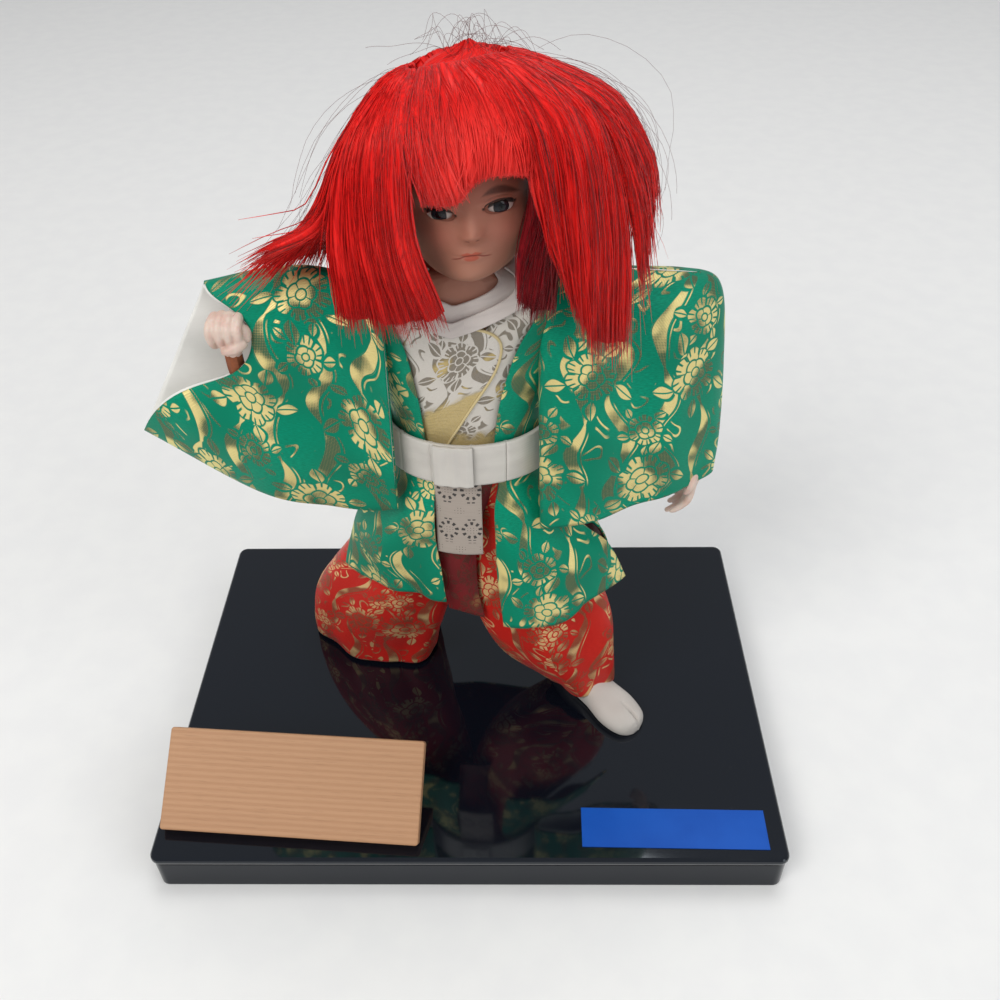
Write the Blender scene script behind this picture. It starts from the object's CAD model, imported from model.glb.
# A kabuki dance doll on a black lacquered board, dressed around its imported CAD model.
# Left and right are the doll's own; all lengths are in metres, pattern lengths in millimetres.
import math
import bpy
import numpy as np
from mathutils import Matrix, Vector


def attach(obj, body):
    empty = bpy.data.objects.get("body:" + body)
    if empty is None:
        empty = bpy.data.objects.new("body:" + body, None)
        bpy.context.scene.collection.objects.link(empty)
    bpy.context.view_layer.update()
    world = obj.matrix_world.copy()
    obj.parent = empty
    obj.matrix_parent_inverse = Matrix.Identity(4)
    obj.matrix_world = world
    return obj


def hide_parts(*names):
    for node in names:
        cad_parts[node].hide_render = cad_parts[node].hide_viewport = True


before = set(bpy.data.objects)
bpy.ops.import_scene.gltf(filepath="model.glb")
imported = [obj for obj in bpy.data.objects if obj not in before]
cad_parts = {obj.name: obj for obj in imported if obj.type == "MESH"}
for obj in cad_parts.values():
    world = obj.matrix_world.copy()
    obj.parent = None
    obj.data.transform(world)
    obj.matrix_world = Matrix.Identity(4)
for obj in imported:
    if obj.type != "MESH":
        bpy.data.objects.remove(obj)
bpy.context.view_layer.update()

scene = bpy.context.scene

# The clothes' tables are shares of the figure's size, counted from the top of the board
FIGURE, BOARD_TOP = 0.1, 0.018


# Curves and surfaces through a few points, as in the part's source

def along(points, t):
    """Places t, 0 to 1, on a smooth curve through the points."""
    points = np.asarray(points, float)
    t = np.atleast_1d(t)
    last = len(points) - 1
    place = np.clip(t, 0, 1) * last
    i = np.minimum(place.astype(int), last - 1)
    f = (place - i)[:, None]
    p1, p2 = points[i], points[i + 1]
    p0 = np.where((i > 0)[:, None], points[np.maximum(i - 1, 0)], 2 * p1 - p2)
    p3 = np.where((i < last - 1)[:, None], points[np.minimum(i + 2, last)], 2 * p2 - p1)
    return (p0 * (-f**3 + 2 * f**2 - f) + p1 * (3 * f**3 - 5 * f**2 + 2)
            + p2 * (-3 * f**3 + 4 * f**2 + f) + p3 * (f**3 - f**2)) / 2


def surface(rows, across, down):
    """A grid of points on the surface through rows of a few points."""
    lines = np.array([along(row, np.linspace(0, 1, across)) for row in rows])
    return np.stack([along(lines[:, k], np.linspace(0, 1, down)) for k in range(across)], axis=1)


def unit(v):
    return v / np.maximum(np.linalg.norm(v, axis=-1, keepdims=True), 1e-12)


def angles(count):
    """The angles of that many even steps round a circle."""
    return np.arange(count) / count * 2 * np.pi


def on_figure(p):
    return np.asarray(p, float) * FIGURE + np.array([0, 0, BOARD_TOP])


# The dressed trunk: height, middle x and y, half width and half depth of each level
TRUNK = np.array([
    [1.00, 0.015, 0.125, 0.250, 0.180], [1.19, 0.020, 0.130, 0.245, 0.175],
    [1.38, 0.020, 0.130, 0.245, 0.175], [1.50, 0.022, 0.120, 0.260, 0.178],
    [1.67, 0.025, 0.110, 0.300, 0.172], [1.82, 0.028, 0.095, 0.325, 0.158],
    [1.90, 0.030, 0.085, 0.300, 0.132], [1.945, 0.030, 0.075, 0.205, 0.108],
    [1.97, 0.030, 0.060, 0.100, 0.085]])


def trunk_row(height):
    return [sum(np.interp(height + d, TRUNK[:, 0], TRUNK[:, k]) for d in (-0.012, 0, 0.012)) / 3
            for k in range(1, 5)]


def trunk_skin(turn, height):
    x, y, wide, deep = trunk_row(height)
    return np.stack([(x + wide * np.sin(turn * np.pi)) * FIGURE, (y - deep * np.cos(turn * np.pi)) * FIGURE,
                     BOARD_TOP + height * FIGURE], axis=-1)


def on_trunk(turn, height, offset):
    """Points off the trunk's skin. turn is in half turns from the middle of the front, to the doll's left."""
    turn, height = np.broadcast_arrays(np.asarray(turn, float), np.asarray(height, float))
    side = trunk_skin(turn + 0.03, height) - trunk_skin(turn - 0.03, height)
    up = trunk_skin(turn, height + 0.03) - trunk_skin(turn, height - 0.03)
    offset = np.asarray(offset)[..., None] if np.ndim(offset) else offset
    return trunk_skin(turn, height) + unit(np.cross(side, up)) * offset


def smooth_noise(shape, cells, seed, wrap=False):
    """A smooth random field in -1 to 1, from a coarse grid of cells=(down, across)."""
    gen = np.random.default_rng(seed)
    coarse = gen.uniform(-1, 1, (cells[0] + 2, cells[1] + 2))
    if wrap:
        coarse[:, -1] = coarse[:, 1]
        coarse[:, -2] = coarse[:, 0]
    y = np.linspace(0, cells[0], shape[0])
    x = np.linspace(0, cells[1], shape[1])
    yi, xi = np.minimum(y.astype(int), cells[0]), np.minimum(x.astype(int), cells[1])
    fy, fx = y - yi, x - xi
    fy, fx = (fy * fy * (3 - 2 * fy))[:, None], (fx * fx * (3 - 2 * fx))[None, :]
    a, b = coarse[np.ix_(yi, xi)], coarse[np.ix_(yi, xi + 1)]
    c, d = coarse[np.ix_(yi + 1, xi)], coarse[np.ix_(yi + 1, xi + 1)]
    return (a * (1 - fx) + b * fx) * (1 - fy) + (c * (1 - fx) + d * fx) * fy


def normals_of(P, closed=False):
    across = np.roll(P, -1, 1) - np.roll(P, 1, 1) if closed else np.gradient(P, axis=1)
    return unit(np.cross(across, np.gradient(P, axis=0)))


# Mesh makers

def mesh_object(name, points, faces, material):
    mesh = bpy.data.meshes.new(name)
    points = np.asarray(points, np.float32)
    mesh.vertices.add(len(points))
    mesh.vertices.foreach_set("co", points.ravel())
    sizes = np.array([len(f) for f in faces], np.int32)
    loops = np.concatenate(faces).astype(np.int32)
    mesh.loops.add(len(loops))
    mesh.loops.foreach_set("vertex_index", loops)
    mesh.polygons.add(len(sizes))
    mesh.polygons.foreach_set("loop_start", np.concatenate([[0], np.cumsum(sizes)[:-1]]).astype(np.int32))
    mesh.polygons.foreach_set("use_smooth", [True] * len(sizes))
    mesh.update(calc_edges=True)
    mesh.validate()
    obj = bpy.data.objects.new(name, mesh)
    scene.collection.objects.link(obj)
    mesh.materials.append(material)
    return obj


def set_uv(obj, corners):
    obj.data.uv_layers.new(name="cloth").data.foreach_set("uv", corners.astype(np.float32).ravel())


def grid_faces(rows, cols, closed=False):
    j, i = np.meshgrid(np.arange(rows - 1), np.arange(cols if closed else cols - 1), indexing="ij")
    a = j * cols + i
    b = j * cols + (i + 1) % cols
    return np.stack([a, a + cols, b + cols, b], axis=-1).reshape(-1, 4)


def capped_faces(rings, around):
    """Faces of a tube of rings, shut at both ends by fans round two more points, the first end's first."""
    points, last = rings * around, (rings - 1) * around
    return ([tuple(f) for f in grid_faces(rings, around, True)]
            + [(points, i, (i + 1) % around) for i in range(around)]
            + [(points + 1, last + (i + 1) % around, last + i) for i in range(around)])


def capped_tube(P):
    """Points and faces of a tube of rings that is shut round the middles of its end rings."""
    points = np.concatenate([P.reshape(-1, 3), [P[0].mean(0), P[-1].mean(0)]])
    return points, capped_faces(*P.shape[:2])


def closed_up(P, closed):
    return np.concatenate([P, P[:, :1]], axis=1) if closed else P


def cloth_uv(P, closed=False, u0=0.0, v0=0.0):
    """Pattern coordinates in millimetres, measured along the cloth, one column more if closed."""
    Q = closed_up(P, closed)
    du = np.linalg.norm(np.diff(Q, axis=1), axis=-1)
    dv = np.linalg.norm(np.diff(Q, axis=0), axis=-1)
    U = np.concatenate([np.zeros((Q.shape[0], 1)), np.cumsum(du, axis=1)], axis=1)
    V = np.concatenate([np.zeros((1, Q.shape[1])), np.cumsum(dv, axis=0)], axis=0)
    U -= U[:, [Q.shape[1] // 2]]
    return np.stack([U * 1000 + u0, -V * 1000 + v0], axis=-1)


def grid_object(name, P, material, uv, closed=False, keep=None):
    """A sheet through a grid of points. keep says which faces stay."""
    rows, cols = P.shape[:2]
    faces = grid_faces(rows, cols, closed)
    uv = np.stack([uv[:-1, :-1], uv[1:, :-1], uv[1:, 1:], uv[:-1, 1:]], axis=-2).reshape(-1, 4, 2)
    if keep is not None:
        faces, uv = faces[keep.ravel()], uv[keep.ravel()]
    used = np.unique(faces)
    lookup = np.full(rows * cols, -1)
    lookup[used] = np.arange(len(used))
    obj = mesh_object(name, P.reshape(-1, 3)[used], lookup[faces], material)
    set_uv(obj, uv)
    return obj


def flat_size(P):
    """A sheet's greatest width and length along the cloth, and its area."""
    du = np.linalg.norm(np.diff(P, axis=1), axis=-1).sum(1).max()
    dv = np.linalg.norm(np.diff(P, axis=0), axis=-1).sum(0).max()
    a = P[1:, 1:] - P[:-1, :-1]
    b = P[1:, :-1] - P[:-1, 1:]
    area = np.linalg.norm(np.cross(a, b), axis=-1).sum() / 2
    return float(du), float(dv), float(area)


def dress(obj, node, body="stand"):
    """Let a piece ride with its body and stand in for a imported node."""
    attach(obj, body)
    if node:
        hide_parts(node)


def thicken(obj, thickness, offset=0.0):
    m = obj.modifiers.new("thickness", "SOLIDIFY")
    m.thickness, m.offset = thickness, offset
    m.use_even_offset = False


def cloth(name, P, material, node, thickness=0.0007, uv=(0, 0), closed=False,
          keep=None, offset=0.0, turned=False):
    """A declared sheet of cloth. uv moves its pattern, and turned lays the pattern along the other way."""
    flow = cloth_uv(P, closed, *uv)
    obj = grid_object(name, P, material, flow[..., ::-1] if turned else flow, closed, keep)
    thicken(obj, thickness, offset)
    dress(obj, node)
    wide, long, area = flat_size(closed_up(P, closed))
    if keep is not None:
        area *= keep.mean()
    # A declared area is between about a third and all of width by length
    area = float(np.clip(area, 0.31 * wide * long, wide * long))


# Shader nodes

class Field:
    """A number that varies over a surface. Sums and products of fields become Math nodes."""

    def __init__(self, nodes, socket):
        self.nodes, self.socket = nodes, socket

    def op(self, kind, *others):
        return self.nodes.math(kind, self, *others)

    def __add__(self, other):
        return self.op("ADD", other)

    def __sub__(self, other):
        return self.op("SUBTRACT", other)

    def __rsub__(self, other):
        return self.nodes.math("SUBTRACT", other, self)

    def __mul__(self, other):
        return self.op("MULTIPLY", other)

    def __truediv__(self, other):
        return self.op("DIVIDE", other)

    __radd__, __rmul__ = __add__, __mul__

    def sin(self):
        return self.op("SINE")

    def cos(self):
        return self.op("COSINE")

    def abs(self):
        return self.op("ABSOLUTE")

    def floor(self):
        return self.op("FLOOR")

    def fract(self):
        return self.op("FRACT")

    def max(self, other):
        return self.op("MAXIMUM", other)

    def step(self, low, high):
        return self.nodes.step(self, low, high)


class Nodes:
    """A short way to write a material's node tree."""

    def __init__(self, name):
        self.material = bpy.data.materials.new(name)
        self.material.use_nodes = True
        self.tree = self.material.node_tree
        self.tree.nodes.clear()
        self.out = self.new("OutputMaterial")
        self.shader = self.new("BsdfPrincipled")
        self.tree.links.new(self.shader.outputs[0], self.out.inputs[0])

    def new(self, kind, **values):
        node = self.tree.nodes.new("ShaderNode" + kind)
        for key, value in values.items():
            setattr(node, key, value)
        return node

    def put(self, socket, value):
        value = value.socket if isinstance(value, Field) else value
        if isinstance(value, bpy.types.NodeSocket):
            self.tree.links.new(value, socket)
        elif value is not None:
            socket.default_value = value

    def math(self, kind, *values):
        node = self.new("Math", operation=kind)
        for socket, value in zip(node.inputs, values):
            self.put(socket, value)
        return Field(self, node.outputs[0])

    def mix(self, factor, a, b):
        node = self.new("Mix", data_type="RGBA")
        self.put(node.inputs[0], factor)
        for socket, value in ((node.inputs[6], a), (node.inputs[7], b)):
            self.put(socket, value if isinstance(value, bpy.types.NodeSocket) else (*value, 1))
        return node.outputs[2]

    def step(self, value, low, high):
        node = self.new("MapRange", interpolation_type="SMOOTHSTEP")
        for socket, v in zip(node.inputs, (value, low, high, 0.0, 1.0)):
            self.put(socket, v)
        return Field(self, node.outputs[0])

    def parts(self, vector):
        split = self.new("SeparateXYZ")
        self.put(split.inputs[0], vector)
        return [Field(self, output) for output in split.outputs]

    def uv(self):
        flow = self.new("UVMap", uv_map="cloth").outputs[0]
        return [flow, *self.parts(flow)[:2]]

    def place(self):
        return self.new("TexCoord").outputs["Object"]

    def vector(self, x, y, z=0.0):
        node = self.new("CombineXYZ")
        for socket, value in zip(node.inputs, (x, y, z)):
            self.put(socket, value)
        return node.outputs[0]

    def noise(self, vector, scale, detail=2.0, rough=0.5):
        node = self.new("TexNoise")
        for key, value in (("Vector", vector), ("Scale", scale), ("Detail", detail), ("Roughness", rough)):
            self.put(node.inputs[key], value)
        return Field(self, node.outputs[0])

    def bump(self, height, strength, distance):
        node = self.new("Bump")
        for key, value in (("Strength", strength), ("Distance", distance), ("Height", height)):
            self.put(node.inputs[key], value)
        return node.outputs[0]

    def set(self, **values):
        names = {"color": "Base Color", "rough": "Roughness", "metal": "Metallic", "sheen": "Sheen Weight",
                 "sheen_rough": "Sheen Roughness", "normal": "Normal", "coat": "Coat Weight",
                 "coat_rough": "Coat Roughness", "specular": "Specular IOR Level", "tangent": "Tangent",
                 "subsurface": "Subsurface Weight", "subsurface_scale": "Subsurface Scale",
                 "anisotropic": "Anisotropic", "tint": "Specular Tint"}
        for key, value in values.items():
            self.put(self.shader.inputs[names[key]], value)
        return self.material


# The brocade's pattern, in millimetres of the cloth: the ribbons' columns, how far they wind from side to
# side, their greatest and least half width, the flowers' pitch and radii, and the twill of the gold threads
RIBBON_CELL, RIBBON_SWAY, RIBBON_SWELL, RIBBON_LEAST = 15.5, 3.1, 2.3, 0.5
FLOWER_PITCH, LARGE_FLOWER, SMALL_FLOWER = (38.0, 40.0), 9.6, 6.6
TWILL = 1.05
TURN = 2 * math.pi


def brocade(name, ground, ground_light, gold, deep, shift=(0.0, 0.0), scale=1.0, lit=(0.42, 0.58),
            metal=0.45, gild=None, tint=(1.0, 1.0, 1.0, 1.0)):
    """Silk with woven gold figures: ribbons that wind and swell, round flower heads with leaves about them
    and small scrolls, each solid gold in places and a twill of dots in others.
    gild = (from, to) turns the ground gold between these places down the cloth."""
    n = Nodes(name)
    _, u, v = n.uv()
    x, y = (u + shift[0]) / scale, (v + shift[1]) / scale
    flow = n.vector(x, y)
    xw = x + (n.noise(flow, 0.035, 1.0) - 0.5) * 9.0
    yw = y + (n.noise(n.vector(x, y + 71.0), 0.04, 1.0) - 0.5) * 9.0

    cell = xw / RIBBON_CELL
    column = cell.floor()
    across = (cell.fract() - 0.5) * RIBBON_CELL - (yw * (TURN / 34) + column * 2.4).sin() * RIBBON_SWAY
    swell = (yw * (math.pi / 27) + column * 1.9).sin().abs() * RIBBON_SWELL + RIBBON_LEAST
    ribbon = (swell - across.abs()).step(0.0, 0.3)
    ribbon = ribbon * (0.55 - across.abs() * 0.5 + swell * 0.25).abs().step(0.04, 0.12)
    piping = (0.32 - (across - swell - 1.0).abs()).step(0.0, 0.2) * swell.step(1.0, 1.6)

    def flower(px, py, radius, outer_petals, inner_petals):
        wide, tall = FLOWER_PITCH
        row = (py / tall).floor()
        dx = (((px + row.op("FLOORED_MODULO", 2.0) * (wide / 2)) / wide).fract() - 0.5) * wide
        dy = ((py / tall).fract() - 0.5) * tall
        away = (dx * dx + dy * dy).op("SQRT")
        angle = dy.op("ARCTAN2", dx)
        lobes = (angle * (outer_petals / 2) + row).cos().abs()
        hearts = (angle * (inner_petals / 2) + 0.7).cos().abs()
        outer = (lobes * 0.15 + 0.85) * radius - away
        inner = (hearts * 0.18 + 0.82) * (radius * 0.56) - away
        core = radius * 0.2 - away
        veins = (angle * (outer_petals * 3.0)).sin().step(-0.75, -0.35).max(n.step(outer, 1.9, 2.6))
        petals = outer.step(0.0, 0.3) * lobes.step(0.10, 0.24).max(inner.step(0.1, 0.3)) * veins
        petals = petals * (inner.abs() - 0.25).step(0.0, 0.25)
        petals = petals * hearts.step(0.08, 0.24).max(core.step(-0.2, 0.1)).max((inner * -1.0).step(0.0, 0.2))
        petals = petals * (core.abs() - 0.2).step(0.0, 0.2)
        sector = ((angle * (5 / TURN) + row * 0.3).fract() - 0.5) * (away * (TURN / 5))
        out = away - radius * 0.98
        sweep = (sector + out * 0.35).abs()
        leaf = (out.max(0.0).op("MINIMUM", radius * 0.75) * (math.pi / (radius * 0.75))).sin()
        leaves = (leaf * (radius * 0.24) - sweep).step(0.0, 0.3) * (sweep - 0.18).step(0.0, 0.2)
        round_leaf = leaf * (radius * 0.24) + 0.7 - sweep + leaf.step(0.05, 0.2) * 10.0 - 10.0
        return petals.max(leaves), outer.max(round_leaf)

    flower_a, rim_a = flower(xw + 9.0, yw + 6.0, LARGE_FLOWER, 8.0, 5.0)
    flower_b, rim_b = flower(xw + 28.0, yw + 26.0, SMALL_FLOWER, 6.0, 4.0)
    clear = (rim_a.max(rim_b) * -1.0).step(0.3, 0.8)
    curl = ((xw + (yw * 0.42).sin() * 2.6) * 0.47).sin() + ((yw - (xw * 0.5).sin() * 2.2) * 0.55).sin()
    scroll = (0.34 - (curl - 0.75).abs()).step(0.0, 0.14) * n.noise(flow, 0.07, 0.0).step(0.46, 0.52)
    scroll = scroll * across.abs().step(4.2, 4.8)
    figure = (ribbon.max(piping).max(scroll) * clear).max(flower_a)
    figure = figure.max(flower_b * (rim_a * -1.0).step(0.0, 0.4))

    # Gold threads cross the figures as a twill, nearly solid where they catch the light
    pitch = TURN / TWILL
    twill = (((x + y) * pitch).sin() * ((x - y) * pitch).sin() + 1.0) * 0.5
    light = n.noise(n.vector(x, y + 400.0), 0.075, 1.5).step(*lit)
    cover = figure * (light * 0.72 + 0.44 - twill).step(0.0, 0.16)
    if gild:
        lap = (v * -1.0 + (n.noise(flow, 0.22, 2.0) - 0.5) * 9.0).step(*gild)
        cover = cover.max(lap * (1.02 - twill).step(0.0, 0.2))
        light = light.max(lap)
    threads = n.noise(n.vector(x * 0.7, y * 4.0), 0.9, 2.0)
    sheen_shift = n.noise(flow, 0.03, 1.0)
    base = n.mix(threads.step(0.3, 0.7), ground, n.mix(sheen_shift.step(0.35, 0.65), ground, ground_light))
    under = n.mix(0.6, base, deep)
    dull_gold = tuple(0.30 * c + 0.35 * d for c, d in zip(gold, deep))
    color = n.mix(cover, n.mix(figure, base, under), n.mix(light, dull_gold, gold))
    ribs = (y * (TURN / 0.5)).sin()
    height = cover * (((x + y) * pitch).sin() * 0.4 + 0.8) + ribs * 0.10
    return n.set(color=color, rough=0.46 - cover * 0.10, metal=cover * metal,
                 normal=n.bump(height, 0.55, 0.00020), sheen=0.05, sheen_rough=0.4, specular=0.35, tint=tint)


# Clothes: the same tables of shares as the solids, at a finer step and with the folds of real cloth

# How far each layer lies off the trunk
KIMONO, COAT, SASH = 0.0010, 0.0027, 0.0045

# Rows from the neck down, each of points of turn and height on the trunk
PANELS = {
    "kimono_right": [
        [[-0.4, 1.92], [-0.3, 1.885], [-0.2, 1.845]], [[-0.44, 1.8], [-0.2, 1.8], [0.08, 1.788]],
        [[-0.46, 1.66], [-0.16, 1.66], [0.11, 1.66]], [[-0.46, 1.47], [-0.23, 1.47], [0.0, 1.47]],
        [[-0.46, 1.285], [-0.28, 1.285], [-0.12, 1.285]]],
    "kimono_left": [
        [[0.13, 1.855], [0.29, 1.91], [0.4, 1.925]], [[0.06, 1.787], [0.28, 1.8], [0.44, 1.8]],
        [[0.045, 1.66], [0.29, 1.66], [0.46, 1.66]], [[-0.065, 1.47], [0.24, 1.47], [0.46, 1.47]],
        [[-0.185, 1.285], [0.18, 1.285], [0.46, 1.285]]],
    "coat_front_right": [
        [[-0.495, 1.92], [-0.38, 1.905], [-0.28, 1.865]], [[-0.495, 1.86], [-0.36, 1.85], [-0.24, 1.81]],
        [[-0.495, 1.72], [-0.34, 1.72], [-0.2, 1.7]], [[-0.495, 1.52], [-0.35, 1.52], [-0.19, 1.52]],
        [[-0.495, 1.285], [-0.34, 1.285], [-0.185, 1.285]]],
    "coat_front_left": [
        [[0.28, 1.865], [0.38, 1.905], [0.495, 1.92]], [[0.22, 1.81], [0.36, 1.85], [0.495, 1.86]],
        [[0.165, 1.7], [0.32, 1.72], [0.495, 1.72]], [[0.13, 1.52], [0.3, 1.52], [0.495, 1.52]],
        [[0.11, 1.285], [0.3, 1.285], [0.495, 1.285]]],
    "coat_back": [
        [[0.505, 1.92], [0.76, 1.925], [1.0, 1.925], [1.24, 1.925], [1.495, 1.92]],
        *([[turn, height] for turn in (0.505, 0.76, 1.0, 1.24, 1.495)]
          for height in (1.86, 1.72, 1.52, 1.285))],
}
# The turns where a skirt leaves the sash, then its rows of points on the figure
SKIRTS = {
    "right": ([-0.15, -0.27, -0.39, -0.495], [
        [[-0.11, -0.085, 1.06], [-0.195, -0.05, 1.06], [-0.27, 0.02, 1.06], [-0.315, 0.13, 1.06]],
        [[-0.11, -0.095, 0.94], [-0.22, -0.055, 0.93], [-0.33, 0.015, 0.92], [-0.41, 0.13, 0.92]],
        [[-0.1, -0.105, 0.78], [-0.25, -0.055, 0.78], [-0.38, 0.02, 0.78], [-0.465, 0.15, 0.78]],
        [[-0.085, -0.11, 0.615], [-0.22, -0.065, 0.62], [-0.36, -0.005, 0.605], [-0.495, 0.12, 0.61]]]),
    "left": ([0.13, 0.26, 0.38, 0.495], [
        [[0.11, -0.09, 1.07], [0.205, -0.07, 1.06], [0.29, -0.01, 1.05], [0.355, 0.09, 1.04]],
        [[0.11, -0.1, 0.96], [0.23, -0.105, 0.93], [0.35, -0.05, 0.9], [0.44, 0.05, 0.88]],
        [[0.12, -0.16, 0.78], [0.27, -0.18, 0.78], [0.41, -0.115, 0.79], [0.545, 0.02, 0.8]],
        [[0.135, -0.205, 0.585], [0.29, -0.22, 0.585], [0.45, -0.15, 0.635], [0.605, -0.01, 0.655]]]),
    "back": ([0.505, 0.75, 1.0, 1.25, 1.495], [
        [[0.36, 0.12, 1.04], [0.3, 0.28, 1.05], [0.02, 0.35, 1.06], [-0.24, 0.31, 1.06],
         [-0.325, 0.16, 1.06]],
        [[0.43, 0.11, 0.88], [0.37, 0.3, 0.92], [0.02, 0.38, 0.93], [-0.31, 0.36, 0.93],
         [-0.4, 0.2, 0.92]],
        [[0.52, 0.1, 0.79], [0.42, 0.34, 0.77], [0.02, 0.42, 0.77], [-0.38, 0.42, 0.77],
         [-0.455, 0.22, 0.77]],
        [[0.57, 0.08, 0.63], [0.46, 0.37, 0.58], [0.0, 0.45, 0.58], [-0.43, 0.46, 0.58],
         [-0.49, 0.22, 0.6]]]),
}
# Middle x, y and height of each level of a leg, with its half width and half depth
HAKAMA = {
    "right": [[-0.105, 0.13, 1.177, 0.125, 0.165], [-0.13, 0.145, 1.04, 0.14, 0.155],
              [-0.185, 0.165, 0.87, 0.17, 0.16], [-0.26, 0.19, 0.67, 0.21, 0.17],
              [-0.34, 0.215, 0.47, 0.255, 0.18], [-0.4, 0.245, 0.3, 0.275, 0.18],
              [-0.435, 0.27, 0.14, 0.272, 0.168], [-0.455, 0.28, 0.02, 0.26, 0.155]],
    "left": [[0.13, 0.13, 1.177, 0.125, 0.165], [0.145, 0.12, 1.02, 0.155, 0.165],
             [0.19, 0.095, 0.82, 0.205, 0.175], [0.245, 0.065, 0.62, 0.25, 0.185],
             [0.297, 0.03, 0.45, 0.257, 0.18], [0.35, 0.0, 0.27, 0.225, 0.155],
             [0.43, -0.01, 0.13, 0.15, 0.125], [0.452, -0.015, 0.08, 0.13, 0.11]],
}
# How far the hem turns back to one side, and how square it is
HAKAMA_SKEW = {"right": 0.375, "left": 0.1}
HAKAMA_BOX = {"right": 0.38, "left": 0.0}
HAKAMA_CENTRE = [
    [[-0.1, -0.035, 1.176], [-0.03, -0.047, 1.176], [0.05, -0.047, 1.176], [0.12, -0.035, 1.176]],
    [[-0.11, -0.045, 0.92], [-0.05, -0.055, 0.92], [0.0, -0.052, 0.92], [0.045, -0.035, 0.92]],
    [[-0.1, -0.055, 0.7], [-0.06, -0.062, 0.69], [-0.01, -0.062, 0.68], [0.035, -0.055, 0.67]],
    [[-0.08, -0.06, 0.53], [-0.03, -0.07, 0.52], [0.02, -0.08, 0.51], [0.06, -0.085, 0.5]]]
SHOULDER = 1.84
# The turn where a sleeve is sewn on; from there to its mouth, stations with a top, a bottom and a half width
# off the shoulder; and the cut of its mouth: how far back it goes and how high on the sleeve
SLEEVES = {
    "right": (-0.5, [
        [[0.06, -0.135, 0.0], [0.05, -0.165, -0.78], 0.022],
        [[-0.02, -0.04, 0.06], [-0.05, -0.135, -0.8], 0.08],
        [[-0.14, -0.015, 0.1], [-0.19, -0.125, -0.78], 0.1],
        [[-0.3, -0.025, 0.105], [-0.43, -0.125, -0.715], 0.105],
        [[-0.51, -0.03, 0.065], [-0.82, -0.075, -0.475], 0.07]], (0.24, 0.8)),
    "left": (0.5, [
        [[-0.03, -0.015, 0.11], [0.45, 0.115, 0.008], 0.04],
        [[-0.075, -0.065, 0.02], [0.53, 0.115, -0.05], 0.105],
        [[-0.085, -0.115, -0.22], [0.56, 0.08, -0.3], 0.12],
        [[-0.08, -0.155, -0.52], [0.57, 0.025, -0.56], 0.105],
        [[-0.075, -0.185, -0.84], [0.56, -0.02, -0.71], 0.075]], (0, 0)),
}


def panel_points(name, across, down, offset):
    """A panel that lies on the trunk, at an offset from it."""
    P = surface(PANELS[name], across, down)
    return on_trunk(P[..., 0], P[..., 1], offset)


def skirt_points(name, across, down):
    """A skirt with its folds, and which way is out. Its first rows lie on the trunk, under the sash."""
    turns, hang = SKIRTS[name]
    tucked = [on_trunk(turns, height, COAT) for height in (1.27, 1.165)]
    P = surface(tucked + [on_figure(row) for row in hang], across, down)
    u, v = np.linspace(0, 1, across)[None, :], np.linspace(0, 1, down)[:, None]
    fold = 0.0011 * np.sin(u * np.pi * (9 if name == "back" else 5)) * np.maximum(0, v - 0.3)
    out = unit(P * [1, 1, 0] - [0, 0.01, 0])
    return P + out * fold[..., None], out


def sleeve_points(side, inset, around=240, down=90):
    """A flat bag of cloth from the shoulder to its cut mouth, everywhere smaller by inset."""
    turn, edges, (lip_depth, lip_height) = SLEEVES[side]
    shoulder = on_trunk(turn, SHOULDER, 0.0)
    tops = [shoulder + np.array(e[0]) * FIGURE for e in edges]
    bottoms = [shoulder + np.array(e[1]) * FIGURE for e in edges]
    halves = [[e[2] * FIGURE] for e in edges]
    angle = (angles(around) - np.pi / 2)[None, :]
    v = np.linspace(0, 1, down)[:, None]
    front = np.maximum(0, -np.cos(angle))
    high = (1 + np.sin(angle)) / 2
    spread = np.where(high > lip_height, 0.15, 0.32)
    lip = lip_depth * front**0.6 * np.exp(-(((high - lip_height) / spread) ** 2))
    station = inset / FIGURE + v * (1 - lip - inset / FIGURE)
    flat = station.ravel()
    top = along(tops, flat).reshape(*station.shape, 3)
    bottom = along(bottoms, flat).reshape(*station.shape, 3)
    half = along(halves, flat).reshape(station.shape) - inset
    if side == "left":
        # Sewn shut along the shoulder
        half = half * np.clip(v / 0.07, 0.04, 1) ** 0.5
    span = top - bottom
    length = np.linalg.norm(span, axis=-1, keepdims=True)
    reach = length / 2 - inset
    middle = (top + bottom) / 2
    rounded = np.sign(np.cos(angle)) * np.abs(np.cos(angle)) ** 0.7
    fold = 0.0012 * np.sin(high * np.pi * 4 + v * 2) * np.minimum(1, v * 2) * np.cos(angle) ** 2
    # Soft dents, deepest near the body, only ever inwards
    dent = smooth_noise((down, around), (3, 9), 31 + len(side), True) * 0.0011
    dent += smooth_noise((down, around), (4, 26), 33 + len(side), True) * 0.0005 * (1.2 - v)
    dent = np.maximum(0, dent + 0.0003) * np.minimum(1, v * 6)
    P = middle + span / length * reach * np.sin(angle)[..., None]
    P[..., 1] += (half - dent) * rounded + fold
    return P


def inside_trunk(P, offset):
    """How far inside the dressed trunk each point lies: above 0 is inside."""
    height = (P[..., 2] - BOARD_TOP) / FIGURE
    x, y, wide, deep = (share * FIGURE for share in trunk_row(height))
    r = np.hypot((P[..., 0] - x) / (wide + offset), (P[..., 1] - y) / (deep + offset))
    return np.where((height > 1.15) & (height < 1.96), 1 - r, -1.0)


def kept_faces(inside):
    """The faces of a closed grid that stay: all but those with four corners inside."""
    stay = ~(inside & np.roll(inside, -1, 1))
    return stay[:-1] | stay[1:]


# Materials, each with its own weave, grain or wear

def dimmed(color, share):
    return tuple(c * share for c in color)


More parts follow.
